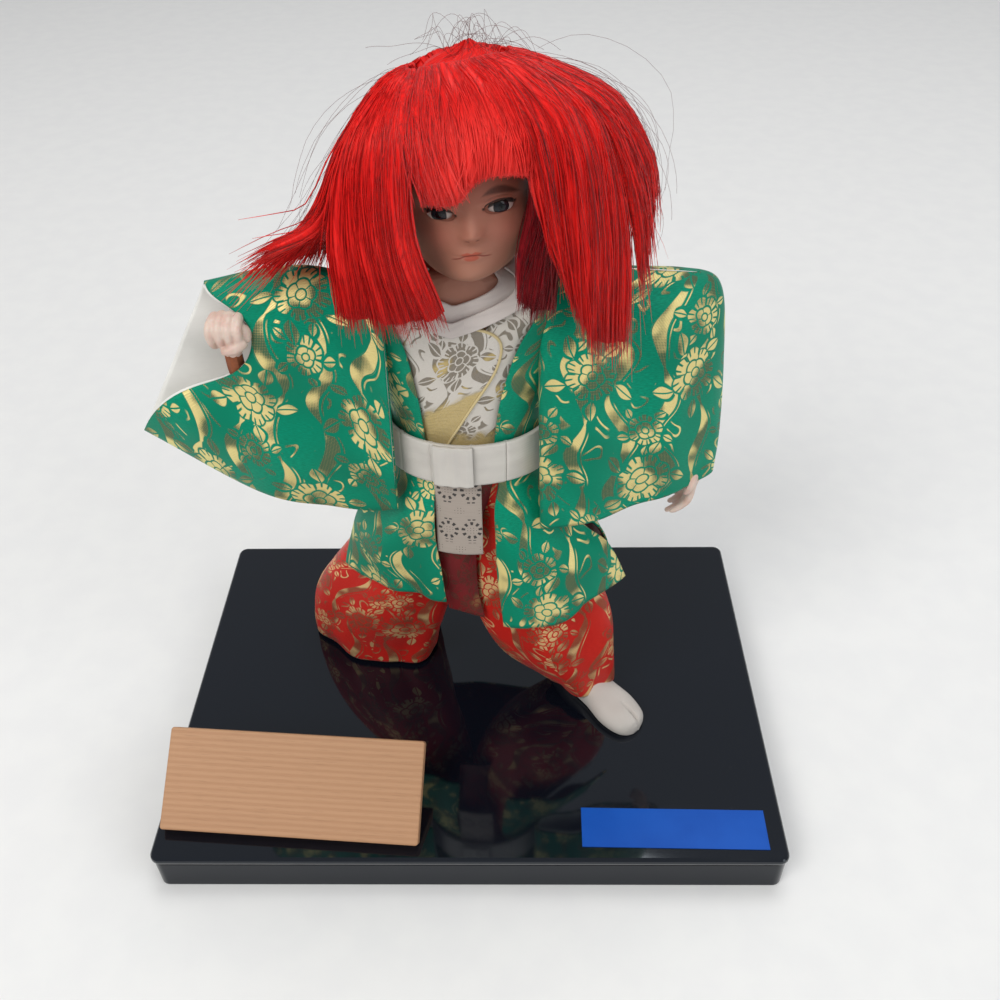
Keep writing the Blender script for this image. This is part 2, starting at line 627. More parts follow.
def plain_silk(name, color, dark, rib=0.5, rough=0.6, sheen=0.25):
    """White silk with a fine crosswise rib and a few thicker threads."""
    n = Nodes(name)
    flow, u, v = n.uv()
    weave = (u * (TURN / rib)).sin() * (v * (TURN / (rib * 0.8))).sin()
    slub = n.noise(n.vector(u * 0.25, v * 3.0), 0.6, 3.0)
    tone = n.mix(n.noise(flow, 0.09, 2.0).step(0.3, 0.75), color, dark)
    tone = n.mix(slub.step(0.55, 0.8) * 0.25, tone, dimmed(color, 0.82))
    return n.set(color=tone, rough=rough, normal=n.bump(weave * 0.5 + slub, 0.35, 0.00012), sheen=sheen,
                 sheen_rough=0.4, specular=0.3)


def marked_silk(name, color, ink):
    """The tab's white silk with rows of small dark strokes, dots and rings of petals."""
    n = Nodes(name)
    _, u, v = n.uv()
    cell = 8.5
    row = (v / cell).floor()
    dy = ((v / cell).fract() - 0.5) * cell
    dx = ((u / cell + row * 0.5).fract() - 0.5) * cell
    away = (dx * dx + dy * dy).op("SQRT")
    angle = dy.op("ARCTAN2", dx)
    ring = (0.75 - (away - 3.1).abs()).step(0.0, 0.15) * (angle * 9.0).sin().step(-0.1, 0.3)
    pips = (((u * 2.9).sin() * (v * 2.9).sin()).abs()).step(0.86, 0.95) * (2.0 - away).step(0.0, 0.3)
    strokes = (0.6 - (dx.abs() - 3.4).abs()).step(0.0, 0.15) * (v * 4.2).sin().step(0.2, 0.6)
    strokes = strokes * dy.abs().step(2.6, 3.0)
    band = row.op("FLOORED_MODULO", 2.0)
    marks = ring * (1.0 - band) + strokes * band
    marks = marks.max(pips)
    slub = n.noise(n.vector(u * 0.25, v * 3.0), 0.6, 3.0)
    tone = n.mix(slub.step(0.4, 0.8) * 0.5, color, dimmed(color, 0.85))
    tone = n.mix(marks * 0.92, tone, ink)
    return n.set(color=tone, rough=0.6, normal=n.bump(slub - marks * 0.4, 0.3, 0.00012), sheen=0.2,
                 sheen_rough=0.4, specular=0.3)


def crepe_white(name, color):
    """Matt cotton with a fine grain."""
    n = Nodes(name)
    spot = n.place()
    fine = n.noise(spot, 900.0, 3.0, 0.6)
    tone = n.mix(n.noise(spot, 60.0, 2.0).step(0.3, 0.75), color, dimmed(color, 0.9))
    return n.set(color=tone, rough=0.6, normal=n.bump(fine, 0.4, 0.00012), sheen=0.2, sheen_rough=0.5,
                 specular=0.3)


def porcelain(name, color, warm):
    """Shell-white paint over a carved form, a little pinker in the hollows."""
    n = Nodes(name)
    spot = n.place()
    blush = n.noise(spot, 170.0, 2.0)
    tone = n.mix(blush.step(0.35, 0.7), color, warm)
    fine = n.noise(spot, 1400.0, 3.0)
    return n.set(color=tone, rough=0.38, specular=0.4, normal=n.bump(fine, 0.08, 0.00005), subsurface=0.1,
                 subsurface_scale=0.001)


def black_lacquer(name, specular, coat):
    """Deep black with a faint haze and specks of dust."""
    n = Nodes(name)
    spot = n.place()
    dust = n.noise(spot, 420.0, 4.0, 0.65).step(0.66, 0.82)
    haze = n.noise(spot, 11.0, 3.0).step(0.3, 0.75)
    color = n.mix(dust * 0.06, (0.0040, 0.0050, 0.0090), (0.20, 0.19, 0.20))
    return n.set(color=color, rough=haze * 0.03 + 0.04 + dust * 0.2,
                 normal=n.bump(n.noise(spot, 26.0, 1.0), 0.03, 0.001), coat=coat, coat_rough=0.04,
                 specular=specular, tint=(0.80, 0.92, 1.0, 1.0))


def straight_wood(name, light, dark, lines_per_mm, turn):
    """Straight grain along one axis; turn is the rotation that lays the grain along the piece."""
    n = Nodes(name)
    mapping = n.new("Mapping")
    mapping.inputs["Rotation"].default_value = turn
    n.put(mapping.inputs[0], n.place())
    x, y, z = n.parts(mapping.outputs[0])
    long = n.vector(x * 0.06, y, z)
    growth = (y * (lines_per_mm * 2000 * math.pi) + n.noise(long, 60.0, 2.0) * 7.0).sin()
    pores = n.noise(n.vector(x * 0.05, y, z), 2600.0, 3.0, 0.6)
    tone = n.mix(growth.step(-0.9, 0.95) * 0.55, light, dark)
    tone = n.mix(n.noise(long, 45.0, 2.0).step(0.4, 0.8) * 0.45, tone, dimmed(dark, 0.86))
    tone = n.mix(pores.step(0.5, 0.75) * 0.35, tone, dimmed(dark, 0.7))
    return n.set(color=tone, rough=0.55, normal=n.bump(growth * 0.2 + pores, 0.25, 0.0001), specular=0.3)


def brushed_metal(name, color):
    """Drawn wire."""
    n = Nodes(name)
    grain = n.noise(n.place(), 700.0, 4.0)
    tone = n.mix(grain.step(0.3, 0.7), color, dimmed(color, 0.75))
    return n.set(color=tone, rough=grain * 0.15 + 0.3, metal=1.0, normal=n.bump(grain, 0.1, 0.00005))


def blue_paper(name):
    """Plain blue paper with fine fibres."""
    n = Nodes(name)
    spot = n.place()
    fibre = n.noise(spot, 1500.0, 3.0, 0.6)
    tone = n.mix(n.noise(spot, 70.0, 2.0).step(0.3, 0.7), (0.003, 0.070, 0.39), (0.005, 0.082, 0.43))
    tone = n.mix(fibre.step(0.55, 0.8) * 0.12, tone, (0.04, 0.16, 0.52))
    return n.set(color=tone, rough=0.35, normal=n.bump(fibre, 0.1, 0.00006), specular=0.15)


def rough_fibre(name, color, dark, scale, rough=0.9):
    """Wound paper, netting or thread."""
    n = Nodes(name)
    fibre = n.noise(n.place(), scale, 4.0, 0.65)
    return n.set(color=n.mix(fibre.step(0.3, 0.7), dark, color), rough=rough,
                 normal=n.bump(fibre, 0.6, 0.0003))


green_brocade = brocade("green_brocade", (0.0, 0.185, 0.104), (0.0, 0.290, 0.168), (0.82, 0.67, 0.28),
                        (0.060, 0.040, 0.022), tint=(0.25, 1.0, 0.7, 1.0))
red_brocade = brocade("red_brocade", (0.50, 0.012, 0.008), (0.62, 0.022, 0.012), (0.80, 0.52, 0.24),
                      (0.16, 0.040, 0.018), shift=(7.0, 3.0), scale=0.9, lit=(0.43, 0.59),
                      tint=(1.0, 0.45, 0.35, 1.0))
red_centre = brocade("red_centre", (0.150, 0.003, 0.005), (0.22, 0.006, 0.008), (0.42, 0.20, 0.08),
                     (0.05, 0.008, 0.006), shift=(3.0, 11.0), scale=0.8, lit=(0.55, 0.75))
kimono_silk = brocade("kimono_silk", (0.60, 0.56, 0.50), (0.66, 0.62, 0.57), (0.60, 0.46, 0.20),
                      (0.050, 0.030, 0.016), shift=(12.0, 9.0), scale=0.85, lit=(0.56, 0.70), metal=0.3,
                      gild=(48.0, 53.0))
white_lining = plain_silk("white_lining", (0.88, 0.87, 0.83), (0.82, 0.81, 0.77), 0.6, 0.7)
white_sash = plain_silk("white_sash", (0.62, 0.59, 0.54), (0.56, 0.53, 0.49), 0.9, 0.6)
collar_silk = plain_silk("collar_silk", (0.66, 0.60, 0.56), (0.58, 0.52, 0.49), 0.5, 0.6)
gold_edge = plain_silk("gold_edge", (0.66, 0.55, 0.30), (0.50, 0.38, 0.18), 0.4, 0.45)
tab_silk = marked_silk("tab_silk", (0.38, 0.325, 0.28), (0.020, 0.018, 0.020))
sock_cloth = crepe_white("sock_cloth", (0.52, 0.485, 0.445))
hand_paint = porcelain("hand_paint", (0.68, 0.54, 0.46), (0.62, 0.42, 0.35))
lacquer = black_lacquer("lacquer", 0.42, 0.25)
lacquer_edge = black_lacquer("lacquer_edge", 0.24, 0.06)
plaque_wood = straight_wood("plaque_wood", (0.48, 0.268, 0.145), (0.40, 0.204, 0.104), 0.55,
                            (0.0, 0.0, math.radians(4)))
prop_wood = straight_wood("prop_wood", (0.52, 0.34, 0.20), (0.42, 0.26, 0.14), 0.4, (0.0, 0.0, 0.0))
post_wire = brushed_metal("post_wire", (0.45, 0.44, 0.43))
label_blue = blue_paper("label_blue")


def body_core():
    """Bound straw below, and the painted neck and chest that show above the collars."""
    n = Nodes("body_core")
    spot = n.place()
    height = n.parts(spot)[2] * 1000.0
    fibre = n.noise(spot, 260.0, 4.0, 0.65)
    tone = n.mix(n.noise(spot, 120.0, 2.0).step(0.3, 0.7), (0.44, 0.21, 0.145), (0.40, 0.18, 0.120))
    painted = height.step(197.5, 198.5)
    tone = n.mix(painted, n.mix(fibre.step(0.3, 0.7), (0.22, 0.13, 0.05), (0.42, 0.27, 0.11)), tone)
    return n.set(color=tone, rough=0.85 - painted * 0.42,
                 normal=n.bump(fibre * (1.0 - painted), 0.6, 0.0003))


straw = body_core()
arm_paper = rough_fibre("arm_paper", (0.30, 0.085, 0.028), (0.17, 0.045, 0.016), 180.0, 0.75)
wig_net = rough_fibre("wig_net", (0.26, 0.010, 0.010), (0.13, 0.006, 0.006), 700.0)


# Board, plaque, label and inner pieces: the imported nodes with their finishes

for material, names in (
        (lacquer, ["base_top"]), (lacquer_edge, ["base_frame"]), (label_blue, ["blue_label"]),
        (plaque_wood, ["name_plaque"]), (prop_wood, ["plaque_prop", "neck_peg"]), (straw, ["torso_core"]),
        (post_wire, ["right_leg_post", "left_leg_post", "right_post_nut", "left_post_nut"]),
        (arm_paper, ["right_arm_core", "left_arm_core"])):
    for name in names:
        mesh = bpy.data.objects[name].data
        mesh.materials.clear()
        mesh.materials.append(material)


# Clothes

# The kimono's left front is tucked under its right one
KIMONO_OVER, KIMONO_UNDER = 0.00118, 0.00042
tuck = np.clip(np.linspace(0, 1, 40) / 0.35, 0, 1)[None, :]
for name, offset, uv in (("kimono_right", KIMONO_OVER, (0, 0)),
                         ("kimono_left", KIMONO_UNDER + (KIMONO - KIMONO_UNDER) * tuck, (17, 4))):
    P = panel_points(name, 40, 60, offset)
    cloth(name + "_cloth", P, kimono_silk, name, 0.0005, uv=uv)
for name, across, uv in (("coat_front_right", 40, (-9, 20)), ("coat_front_left", 40, (13, 20)),
                         ("coat_back", 90, (-9, 20))):
    P = panel_points(name, across, 60, COAT)
    cloth(name + "_cloth", P, green_brocade, name, uv=uv)

# Each skirt panel with the red lining behind it
for side, across, waves, uv in (("right", 60, 7, (3, 6)), ("left", 60, 7, (17, 2)),
                                ("back", 120, 14, (0, 0))):
    P, out = skirt_points(side, across, 70)
    wrinkle = smooth_noise(P.shape[:2], (5, waves), 5 + len(side)) * 0.0009
    P = P + out * (wrinkle * np.clip((np.linspace(0, 1, 70)[:, None] - 0.25) * 2, 0, 1))[..., None]
    cloth("skirt_" + side + "_cloth", P, green_brocade, "coat_skirt_" + side, uv=uv,
          thickness=0.0008)
    inner = P - out * 0.0009
    cloth("skirt_" + side + "_lining", inner[5:, 1:-1], red_centre, None, thickness=0.0003)


def hakama_points(side, around, down):
    rows = HAKAMA[side]
    v = np.linspace(0, 1, down)
    middle = on_figure(along([r[:3] for r in rows], v))
    half = along([r[3:] for r in rows], v) * FIGURE
    angle = angles(around)[None, :]
    soft = np.sin(np.minimum(1, v * 1.4) * np.pi / 2)[:, None]
    pleat = 0.0013 * np.cos(angle * 5) * soft
    # The hem is squarer than the thigh
    power = 1 - HAKAMA_BOX[side] * np.clip((v[:, None] - 0.5) / 0.4, 0, 1)
    across = np.sign(np.sin(angle)) * np.abs(np.sin(angle)) ** power
    forward = np.sign(np.cos(angle)) * np.abs(np.cos(angle)) ** power
    skew = HAKAMA_SKEW[side] * half[:, :1] * np.sin(angle) * v[:, None]
    slant = HAKAMA_BOX[side] * 0.8 * half[:, :1] * forward * np.maximum(0, across) * v[:, None] ** 2
    # The top is closed in at the back, under the sash
    close = 1 - 0.14 * np.clip(1 - v[:, None] / 0.14, 0, 1) * (np.cos(angle) < 0)
    x = middle[:, :1] + (half[:, :1] + pleat) * across - slant
    y = middle[:, 1:2] - (half[:, 1:] * close + pleat) * forward - skew
    z = np.broadcast_to(middle[:, 2:], x.shape)
    return np.stack([x, y, z], axis=-1)


for side in ("right", "left"):
    P = hakama_points(side, 150, 90)
    n = normals_of(P, closed=True)
    sign = np.sign(np.sum(n[:, :, :2] * (P - P.mean(1, keepdims=True))[:, :, :2]))
    wrinkle = smooth_noise(P.shape[:2], (7, 16), 21 + len(side), wrap=True) * 0.0007
    P = P + n * (sign * wrinkle * np.linspace(0, 1, 90)[:, None])[..., None]
    cloth("hakama_" + side + "_cloth", P, red_brocade, f"hakama_{side}_leg", 0.0008,
          closed=True, uv=(0, 30), offset=-sign)

P = surface([on_figure(row) for row in HAKAMA_CENTRE], 50, 60)
cloth("hakama_centre_cloth", P, red_centre, "hakama_centre", 0.0008)


# Sleeves: a tube of cloth shut at the shoulder side, with its own lining

for side, uv in (("right", (4, 0)), ("left", (8, 12))):
    for node, inset, material, slot in (("_sleeve", 0.0003, green_brocade, "green_brocade"),
                                        ("_sleeve_lining", 0.0017, white_lining, "white_lining")):
        P = sleeve_points(side, inset)
        keep = kept_faces(inside_trunk(P, COAT + 0.0004) > 0)
        cloth(side + node + "_cloth", P, material, side + node, 0.0006, closed=True, keep=keep, uv=uv,
              turned=side == "right")


# Collars, sash, fold and tab

# The sash's height on the figure, then its height and thickness in metres
WAIST, SASH_HEIGHT, SASH_THICK = 1.275, 0.017, 0.0016
SASH_LOW = BOARD_TOP + WAIST * FIGURE - SASH_HEIGHT / 2


def collar_points(offset, top, tall, point, aside, reach, around=160, down=14):
    """A band round the neck that dips to a point in front, a little to one side of the middle."""
    u = np.arange(around) / around
    turn = np.where(u < 0.5, u * 2, u * 2 - 2)
    dip = point * np.maximum(0, 1 - np.abs(turn + aside) / reach)
    height = (top - dip)[None, :] - np.linspace(0, 1, down)[:, None] * tall
    return on_trunk(np.broadcast_to(turn, height.shape), height, offset)


for name, *shape in (("inner_collar", 0.00070, 1.967, 0.066, 0.089, 0.033, 0.28),
                     ("outer_collar", 0.00195, 1.962, 0.050, 0.135, 0.042, 0.355)):
    cloth(name + "_cloth", collar_points(*shape), collar_silk, name, 0.0008,
          closed=True)


def sash_points(around=480, down=24):
    z = SASH_LOW + SASH_HEIGHT * (1 - np.linspace(0, 1, down)[:, None])
    P = on_trunk(np.arange(around)[None, :] / around * 2, (z - BOARD_TOP) / FIGURE, SASH + 0.0001)
    P[..., 2] = z
    return P


P = sash_points()
fold_lines = np.array([-0.0212, -0.0106, 0.0035, 0.0152])
away = np.min(np.abs(P[..., :1] - fold_lines), axis=-1)
press = np.exp(-(away / 0.0004) ** 2) * (P[..., 1] < 0) * 0.00035
crease = (np.sin(np.linspace(0, 1, P.shape[0]) * np.pi * 3.0) ** 2)[:, None] * 0.00012
n = normals_of(P, True)
n *= np.sign(np.sum(n[..., :2] * (P - P.mean((0, 1)))[..., :2], axis=-1, keepdims=True))
P = P + n * (smooth_noise(P.shape[:2], (2, 12), 41, True) * 0.0002 + crease - press)[..., None]
cloth("obi_cloth", P, white_sash, "obi_band", 0.0014, closed=True)


def front_strip(middle, width, top, drop, offset, down, slope=0.0, across=30):
    """A strip that hangs on the front of the waist; below the sash it stands forward by slope."""
    x = (np.linspace(0, 1, across)[None, :] - 0.5 + middle) * width
    z = top - np.linspace(0, 1, down)[:, None] * drop
    turn = np.arcsin(x / (trunk_row(WAIST)[2] * FIGURE + offset)) / np.pi
    P = on_trunk(np.broadcast_to(turn, (down, across)), WAIST, offset)
    P[..., 2] = z
    P[..., 1] -= np.maximum(0, SASH_LOW - z) * slope
    return P


P = front_strip(-0.36, 0.0145, SASH_LOW + SASH_HEIGHT + 0.0003, 0.0168, SASH + SASH_THICK / 2 + 0.0010, 40)
P[..., 1] -= np.sin(np.linspace(0, 1, 30) * np.pi * 3)[None, :] ** 2 * 0.0004
cloth("obi_front_fold_cloth", P, white_sash, "obi_front_fold", 0.0012)
P = front_strip(-0.24, 0.0172, SASH_LOW + SASH_HEIGHT / 2, 0.032 + SASH_HEIGHT / 2, COAT, 60, 0.12)
cloth("sash_tab_cloth", P, tab_silk, "sash_tab", 0.0008)


# Hands and split-toed socks

def skin_object(name, middle, ball, limbs, seams, voxel):
    """One smooth skin over a ball and the limbs that grow from it, with seams pressed into it.

    Their points and radii are in mm from the middle.
    """
    mm, seam_wide, seam_deep = 0.001, 0.00042, 0.00042
    core, half, turn = ball
    parts = [ball_points(middle + np.array(core) * mm, np.array(half) * mm, turn)]
    parts += [limb_points(middle + np.array(line) * mm, np.array(radii) * mm) for line, radii in limbs]
    points, faces, start = [], [], 0
    for P, f in parts:
        points.append(P)
        faces += [tuple(np.asarray(face) + start) for face in f]
        start += len(P)
    obj = mesh_object(name, np.concatenate(points), faces, hand_paint)
    remesh = obj.modifiers.new("skin", "REMESH")
    remesh.mode = "VOXEL"
    remesh.voxel_size = voxel
    smooth = obj.modifiers.new("soften", "SMOOTH")
    smooth.factor, smooth.iterations = 0.5, 5
    mesh = bpy.data.meshes.new_from_object(obj.evaluated_get(bpy.context.evaluated_depsgraph_get()))
    obj.modifiers.clear()
    obj.data = mesh
    P = np.array([v.co for v in mesh.vertices])
    normal = np.array([v.normal for v in mesh.vertices])
    for seam in seams:
        line = along(middle + np.array(seam) * mm, np.linspace(0, 1, 24))
        near = np.min(np.linalg.norm(P[:, None] - line[None], axis=-1), axis=1)
        P -= normal * (seam_deep * np.exp(-(near / seam_wide) ** 2))[:, None]
    mesh.vertices.foreach_set("co", P.astype(np.float32).ravel())
    mesh.update()
    mesh.polygons.foreach_set("use_smooth", [True] * len(mesh.polygons))
    return obj


def ball_points(middle, half, turn, around=28, down=18):
    """A ball with three half axes, turned about y by an angle in degrees."""
    a = angles(around)
    b = (np.arange(1, down) / down * np.pi)[:, None]
    P = np.stack([np.sin(b) * np.cos(a), np.sin(b) * np.sin(a), np.cos(b) * np.ones(around)], -1)
    P = np.concatenate([P.reshape(-1, 3), [[0, 0, 1.0], [0, 0, -1.0]]]) * half
    P = P @ np.array(Matrix.Rotation(math.radians(turn), 3, "Y")).T + middle
    return P, capped_faces(down - 1, around)


def limb_points(path, radii, around=16, steps=14):
    """A limb along a path, with round ends."""
    line = along(path, np.linspace(0, 1, steps))
    radius = np.interp(np.linspace(0, 1, steps), np.linspace(0, 1, len(radii)), radii)
    tangent = unit(np.gradient(line, axis=0))
    side = unit(np.cross(tangent, [0.31, 0.87, 0.39]))
    up = np.cross(side, tangent)
    a = angles(around)
    # Rounded ends: two smaller rings beyond each end
    ends = [(line[0] - tangent[0] * radius[0] * 0.7, radius[0] * 0.7, 0)]
    ends += [(line[k], radius[k], k) for k in range(steps)]
    ends += [(line[-1] + tangent[-1] * radius[-1] * 0.7, radius[-1] * 0.7, steps - 1)]
    cos, sin = np.cos(a)[:, None], np.sin(a)[:, None]
    P = np.concatenate([c + (side[k] * cos + up[k] * sin) * r for c, r, k in ends])
    P = np.concatenate([P, [line[0] - tangent[0] * radius[0], line[-1] + tangent[-1] * radius[-1]]])
    return P, capped_faces(steps + 2, around)


def fist_piece():
    """A closed hand seen from the back of its fingers: four curled fingers, the thumb laid across."""
    limbs, seams = [], []
    for k in range(4):
        x = -4.6 + 2.9 * k
        top, front = 5.0 - 0.5 * abs(k - 1.2), -5.0 + 0.35 * abs(k - 1.5)
        limbs.append(([(x * 0.85, 1.5, top), (x, -3.4, top - 0.6), (x * 1.02, front - 0.6, 1.0),
                       (x * 0.95, front + 0.6, -2.8), (x * 0.8, -2.4, -3.6)], [1.75, 1.7, 1.55, 1.35, 1.2]))
        if k < 3:
            seams.append([(x * 0.9 + 1.4, 0.5, top), (x + 1.45, -4.0, top - 1.2),
                          (x + 1.45, front - 1.4, 0.6), (x + 1.35, front - 0.5, -3.4)])
    # The thumb, then the wrist
    limbs += [([(5.2, 0.5, 0.0), (5.4, -3.4, -1.4), (2.6, -6.0, -3.2), (-0.6, -6.2, -3.9)],
               [2.2, 2.1, 1.8, 1.4]), ([(0, 0.6, -3.5), (0, 0.4, -6.6)], [4.4, 3.7])]
    fist = skin_object("right_fist_paint", on_figure((-0.725, -0.035, 1.785)),
                       ((0, 0.6, -0.3), (5.7, 5.0, 6.1), 8), limbs, seams, 0.00042)
    dress(fist, "right_fist")


def hand_piece():
    """The open left hand: a soft palm with four drooping fingers and a thumb along it."""
    hand_long, hand_wide = 26, 11
    limbs = [([(0, 0.4, 4.0), (0.1, 0.9, 7.6)], [3.4, 3.0])]
    for spread, length in ((-0.30, 0.44), (-0.10, 0.52), (0.10, 0.44), (0.30, 0.36)):
        long, aside, root = hand_long * length, hand_wide * spread, -0.12 * hand_long
        finger = [(-long * bend, aside * (1 + open_out), root - long * drop) for bend, open_out, drop in (
            (0, 0, 0), (0.10, 0.2, 0.55), (0.42, 0.28, 0.88), (0.58, 0.3, 0.97))]
        limbs.append((finger, [1.65, 1.5, 1.25, 1.0]))
    limbs.append(([(-0.3, -4.0, 2.0), (-1.2, -5.6, -1.2), (-2.4, -5.4, -4.6)], [1.8, 1.5, 1.1]))
    hand = skin_object("left_hand_paint", on_figure((0.83, 0.055, 1.115)),
                       ((0, 0, 0.4), (2.9, 5.2, 6.3), 0), limbs, [], 0.00038)
    dress(hand, "left_hand")


# Length, width and height of the foot at each station from the heel to the toes, as shares
FOOT = np.array([[0.00, 0.34, 0.55], [0.08, 0.62, 0.92], [0.30, 0.78, 1.00], [0.52, 0.82, 0.78],
                 [0.74, 0.98, 0.60], [0.90, 0.86, 0.50], [0.97, 0.58, 0.40], [1.00, 0.20, 0.26]])
# Where each heel stands, how far the foot is turned in degrees, its length and the side of its big toe
FEET = {"right": ((-0.230, 0.275, 0), 178, 0.0415, 1), "left": ((0.368, 0.095, 0), -50, 0.048, -1)}


def tabi_piece(side):
    """A split-toed sock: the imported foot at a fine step, with the split, a sole seam and soft creases."""
    heel, turn, long, big = FEET[side]
    around, down = 120, 130
    v = np.linspace(0, 1, down)
    row = along(FOOT, v)
    angle = angles(around)
    rise = (np.maximum(np.sin(angle), -0.55) + 0.55) / 1.55
    x = np.broadcast_to(row[:, :1] * long, (down, around))
    y = row[:, 1:2] * 0.00925 * np.cos(angle)
    z = 0.0003 + rise[None, :] * row[:, 2:] * 0.015
    P = np.stack([x, y, z], -1)
    split = np.exp(-((y + big * 0.0016) / 0.0006) ** 2) * np.clip((x - 0.0365) / 0.006, 0, 1)
    seam = np.exp(-((rise - 0.10)[None, :] / 0.035) ** 2) * 0.00022
    crease = smooth_noise((down, around), (9, 7), 51, True) * 0.00035 * np.sin(v * np.pi)[:, None]
    upper = np.clip(rise * 3, 0, 1)[None, :]
    P[..., 2] += upper * (crease - split * 0.0016)
    P[..., 1] *= 1 - seam / 0.006
    c, s = math.cos(math.radians(turn)), math.sin(math.radians(turn))
    x, y, z = P[..., 0], P[..., 1], P[..., 2]
    P = np.stack([x * c - y * s, x * s + y * c, z], -1) + on_figure(heel)
    dress(mesh_object(side + "_tabi_sock", *capped_tube(P), sock_cloth), side + "_tabi")


fist_piece()
hand_piece()
for side in FEET:
    tabi_piece(side)

# The gold piping along the front edge of the kimono's upper panel
edge = panel_points("kimono_right", 40, 60, KIMONO_OVER)[8:, -1]
points, faces = limb_points(edge[::3], [0.00050, 0.00056, 0.00050], 8, 60)
dress(mesh_object("kimono_edge_piping", points, faces, gold_edge), None)


# Head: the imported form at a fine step, with lids, lips and painted features

HEAD_MIDDLE = on_figure((0.056, 0.045, 2.22))
HEAD_SIZE = np.array([0.035, 0.039, 0.050])
HEAD_ROLL = math.radians(-6)
# Bumps and hollows of the face, as shares of the head: x, z, width, height and how far out
HEAD_BUMPS = ((0.02, -0.075, 0.085, 0.12, 0.060), (0.02, -0.118, 0.075, 0.05, 0.045),
              (0.24, 0.0, 0.13, 0.07, -0.030), (-0.22, 0.0, 0.13, 0.07, -0.030),
              (0.01, -0.25, 0.13, 0.04, 0.026), (0, -0.43, 0.26, 0.12, 0.45))
# The eyes' x and z, as shares of the head's width and height, then in mm
EYES = {"right": (-0.225, -0.002), "left": (0.255, 0.000)}
EYES_MM = {side: (x * 35, z * 50) for side, (x, z) in EYES.items()}
# An eye opening's half width, height above and height below its middle in mm, and its slant
EYE_WIDE, EYE_UP, EYE_DOWN = 4.1, 1.95, 1.60
EYE_SLANT = {"right": 0.08, "left": -0.10}
# Heights of the mouth and the nostrils in mm. Nose and mouth stand a little to the doll's left.
MOUTH, NOSTRIL = -12.4, -7.2
NOSE, LIPS = 0.75, 0.3
# The lower face leans to the doll's right: how far for each length below LEAN_FROM, in mm
LEAN, LEAN_FROM = 0.12, 4.0
# How far the chin hangs in mm, and by what share the cheeks and then the jaw are fuller
CHIN_DROP, CHEEK_FULL, JAW_FULL = 1.5, 0.19, 0.17


def on_head(d, offset=0.0):
    """Where a direction from the head's middle meets its form, or a form that much larger."""
    x, y, z = d[..., 0], d[..., 1], d[..., 2]
    square = 1 + 0.09 * (1 - np.abs(z)) * np.abs(z)
    deep = np.full_like(x, HEAD_SIZE[1] / 2)
    for bx, bz, wide, tall, out in HEAD_BUMPS:
        away = ((x / 2 - bx) / wide) ** 2 + ((z / 2 - bz) / tall) ** 2
        deep += np.where(y < 0, out * HEAD_SIZE[1] * np.exp(-away) * -y, 0)
    return np.stack([x * (HEAD_SIZE[0] / 2 + offset) * square, y * (deep + offset) * square,
                     z * (HEAD_SIZE[2] / 2 + offset)], axis=-1)


def placed_on_head(P):
    c, s = math.cos(HEAD_ROLL), math.sin(HEAD_ROLL)
    turned = np.stack([P[..., 0] * c + P[..., 2] * s, P[..., 1], -P[..., 0] * s + P[..., 2] * c], axis=-1)
    return turned + HEAD_MIDDLE


def carved_face(x, z):
    """How far the face stands forward for its lids, mouth and nostrils, in mm."""
    move = np.zeros_like(x)
    for side, (ex, ez) in EYES_MM.items():
        s = 1 if side == "left" else -1
        dx = (x - ex) * s
        dz = z - ez - EYE_SLANT[side] * dx
        arch = np.sqrt(np.clip(1 - (dx / EYE_WIDE) ** 2, 0, 1))
        edge = np.where(dz > 0, EYE_UP * arch - dz, EYE_DOWN * arch + dz)
        inside = np.clip(edge / 0.3, 0, 1)
        span = np.exp(-((dx / 5.0) ** 4))
        lid = span * (np.exp(-(((dz - EYE_UP - 0.3) / 1.0) ** 2)) * 0.80
                      + np.exp(-(((dz + EYE_DOWN + 0.2) / 0.8) ** 2)) * 0.35)
        crease = span * np.exp(-(((dz - EYE_UP * arch - 1.5) / 0.22) ** 2)) * 0.22
        move += lid * (1 - inside) - inside * 1.1 - crease
    nose_x, x = x - NOSE, x - LIPS
    lips = np.exp(-((x / 3.4) ** 4)) * (np.exp(-(((z - MOUTH - 0.75) / 0.7) ** 2)) * 0.40
                                        + np.exp(-(((z - MOUTH + 0.85) / 0.8) ** 2)) * 0.45)
    parting = np.exp(-((x / 4.6) ** 4)) * np.exp(-(((z - MOUTH) / 0.25) ** 2)) * 0.4
    philtrum = np.exp(-((x / 0.6) ** 2)) * np.exp(-(((z - MOUTH - 2.6) / 1.0) ** 2)) * 0.2
    for s in (-1, 1):
        move -= np.exp(-(((nose_x - s * 1.3) / 0.6) ** 2 + ((z - NOSTRIL) / 0.4) ** 2)) * 0.5
        move += np.exp(-(((nose_x - s * 2.2) / 0.9) ** 2 + ((z - NOSTRIL - 1.0) / 1.1) ** 2)) * 0.5
    return move + lips - parting - philtrum


def eased(w):
    return np.clip(w, 0, 1) ** 2 * (3 - 2 * np.clip(w, 0, 1))


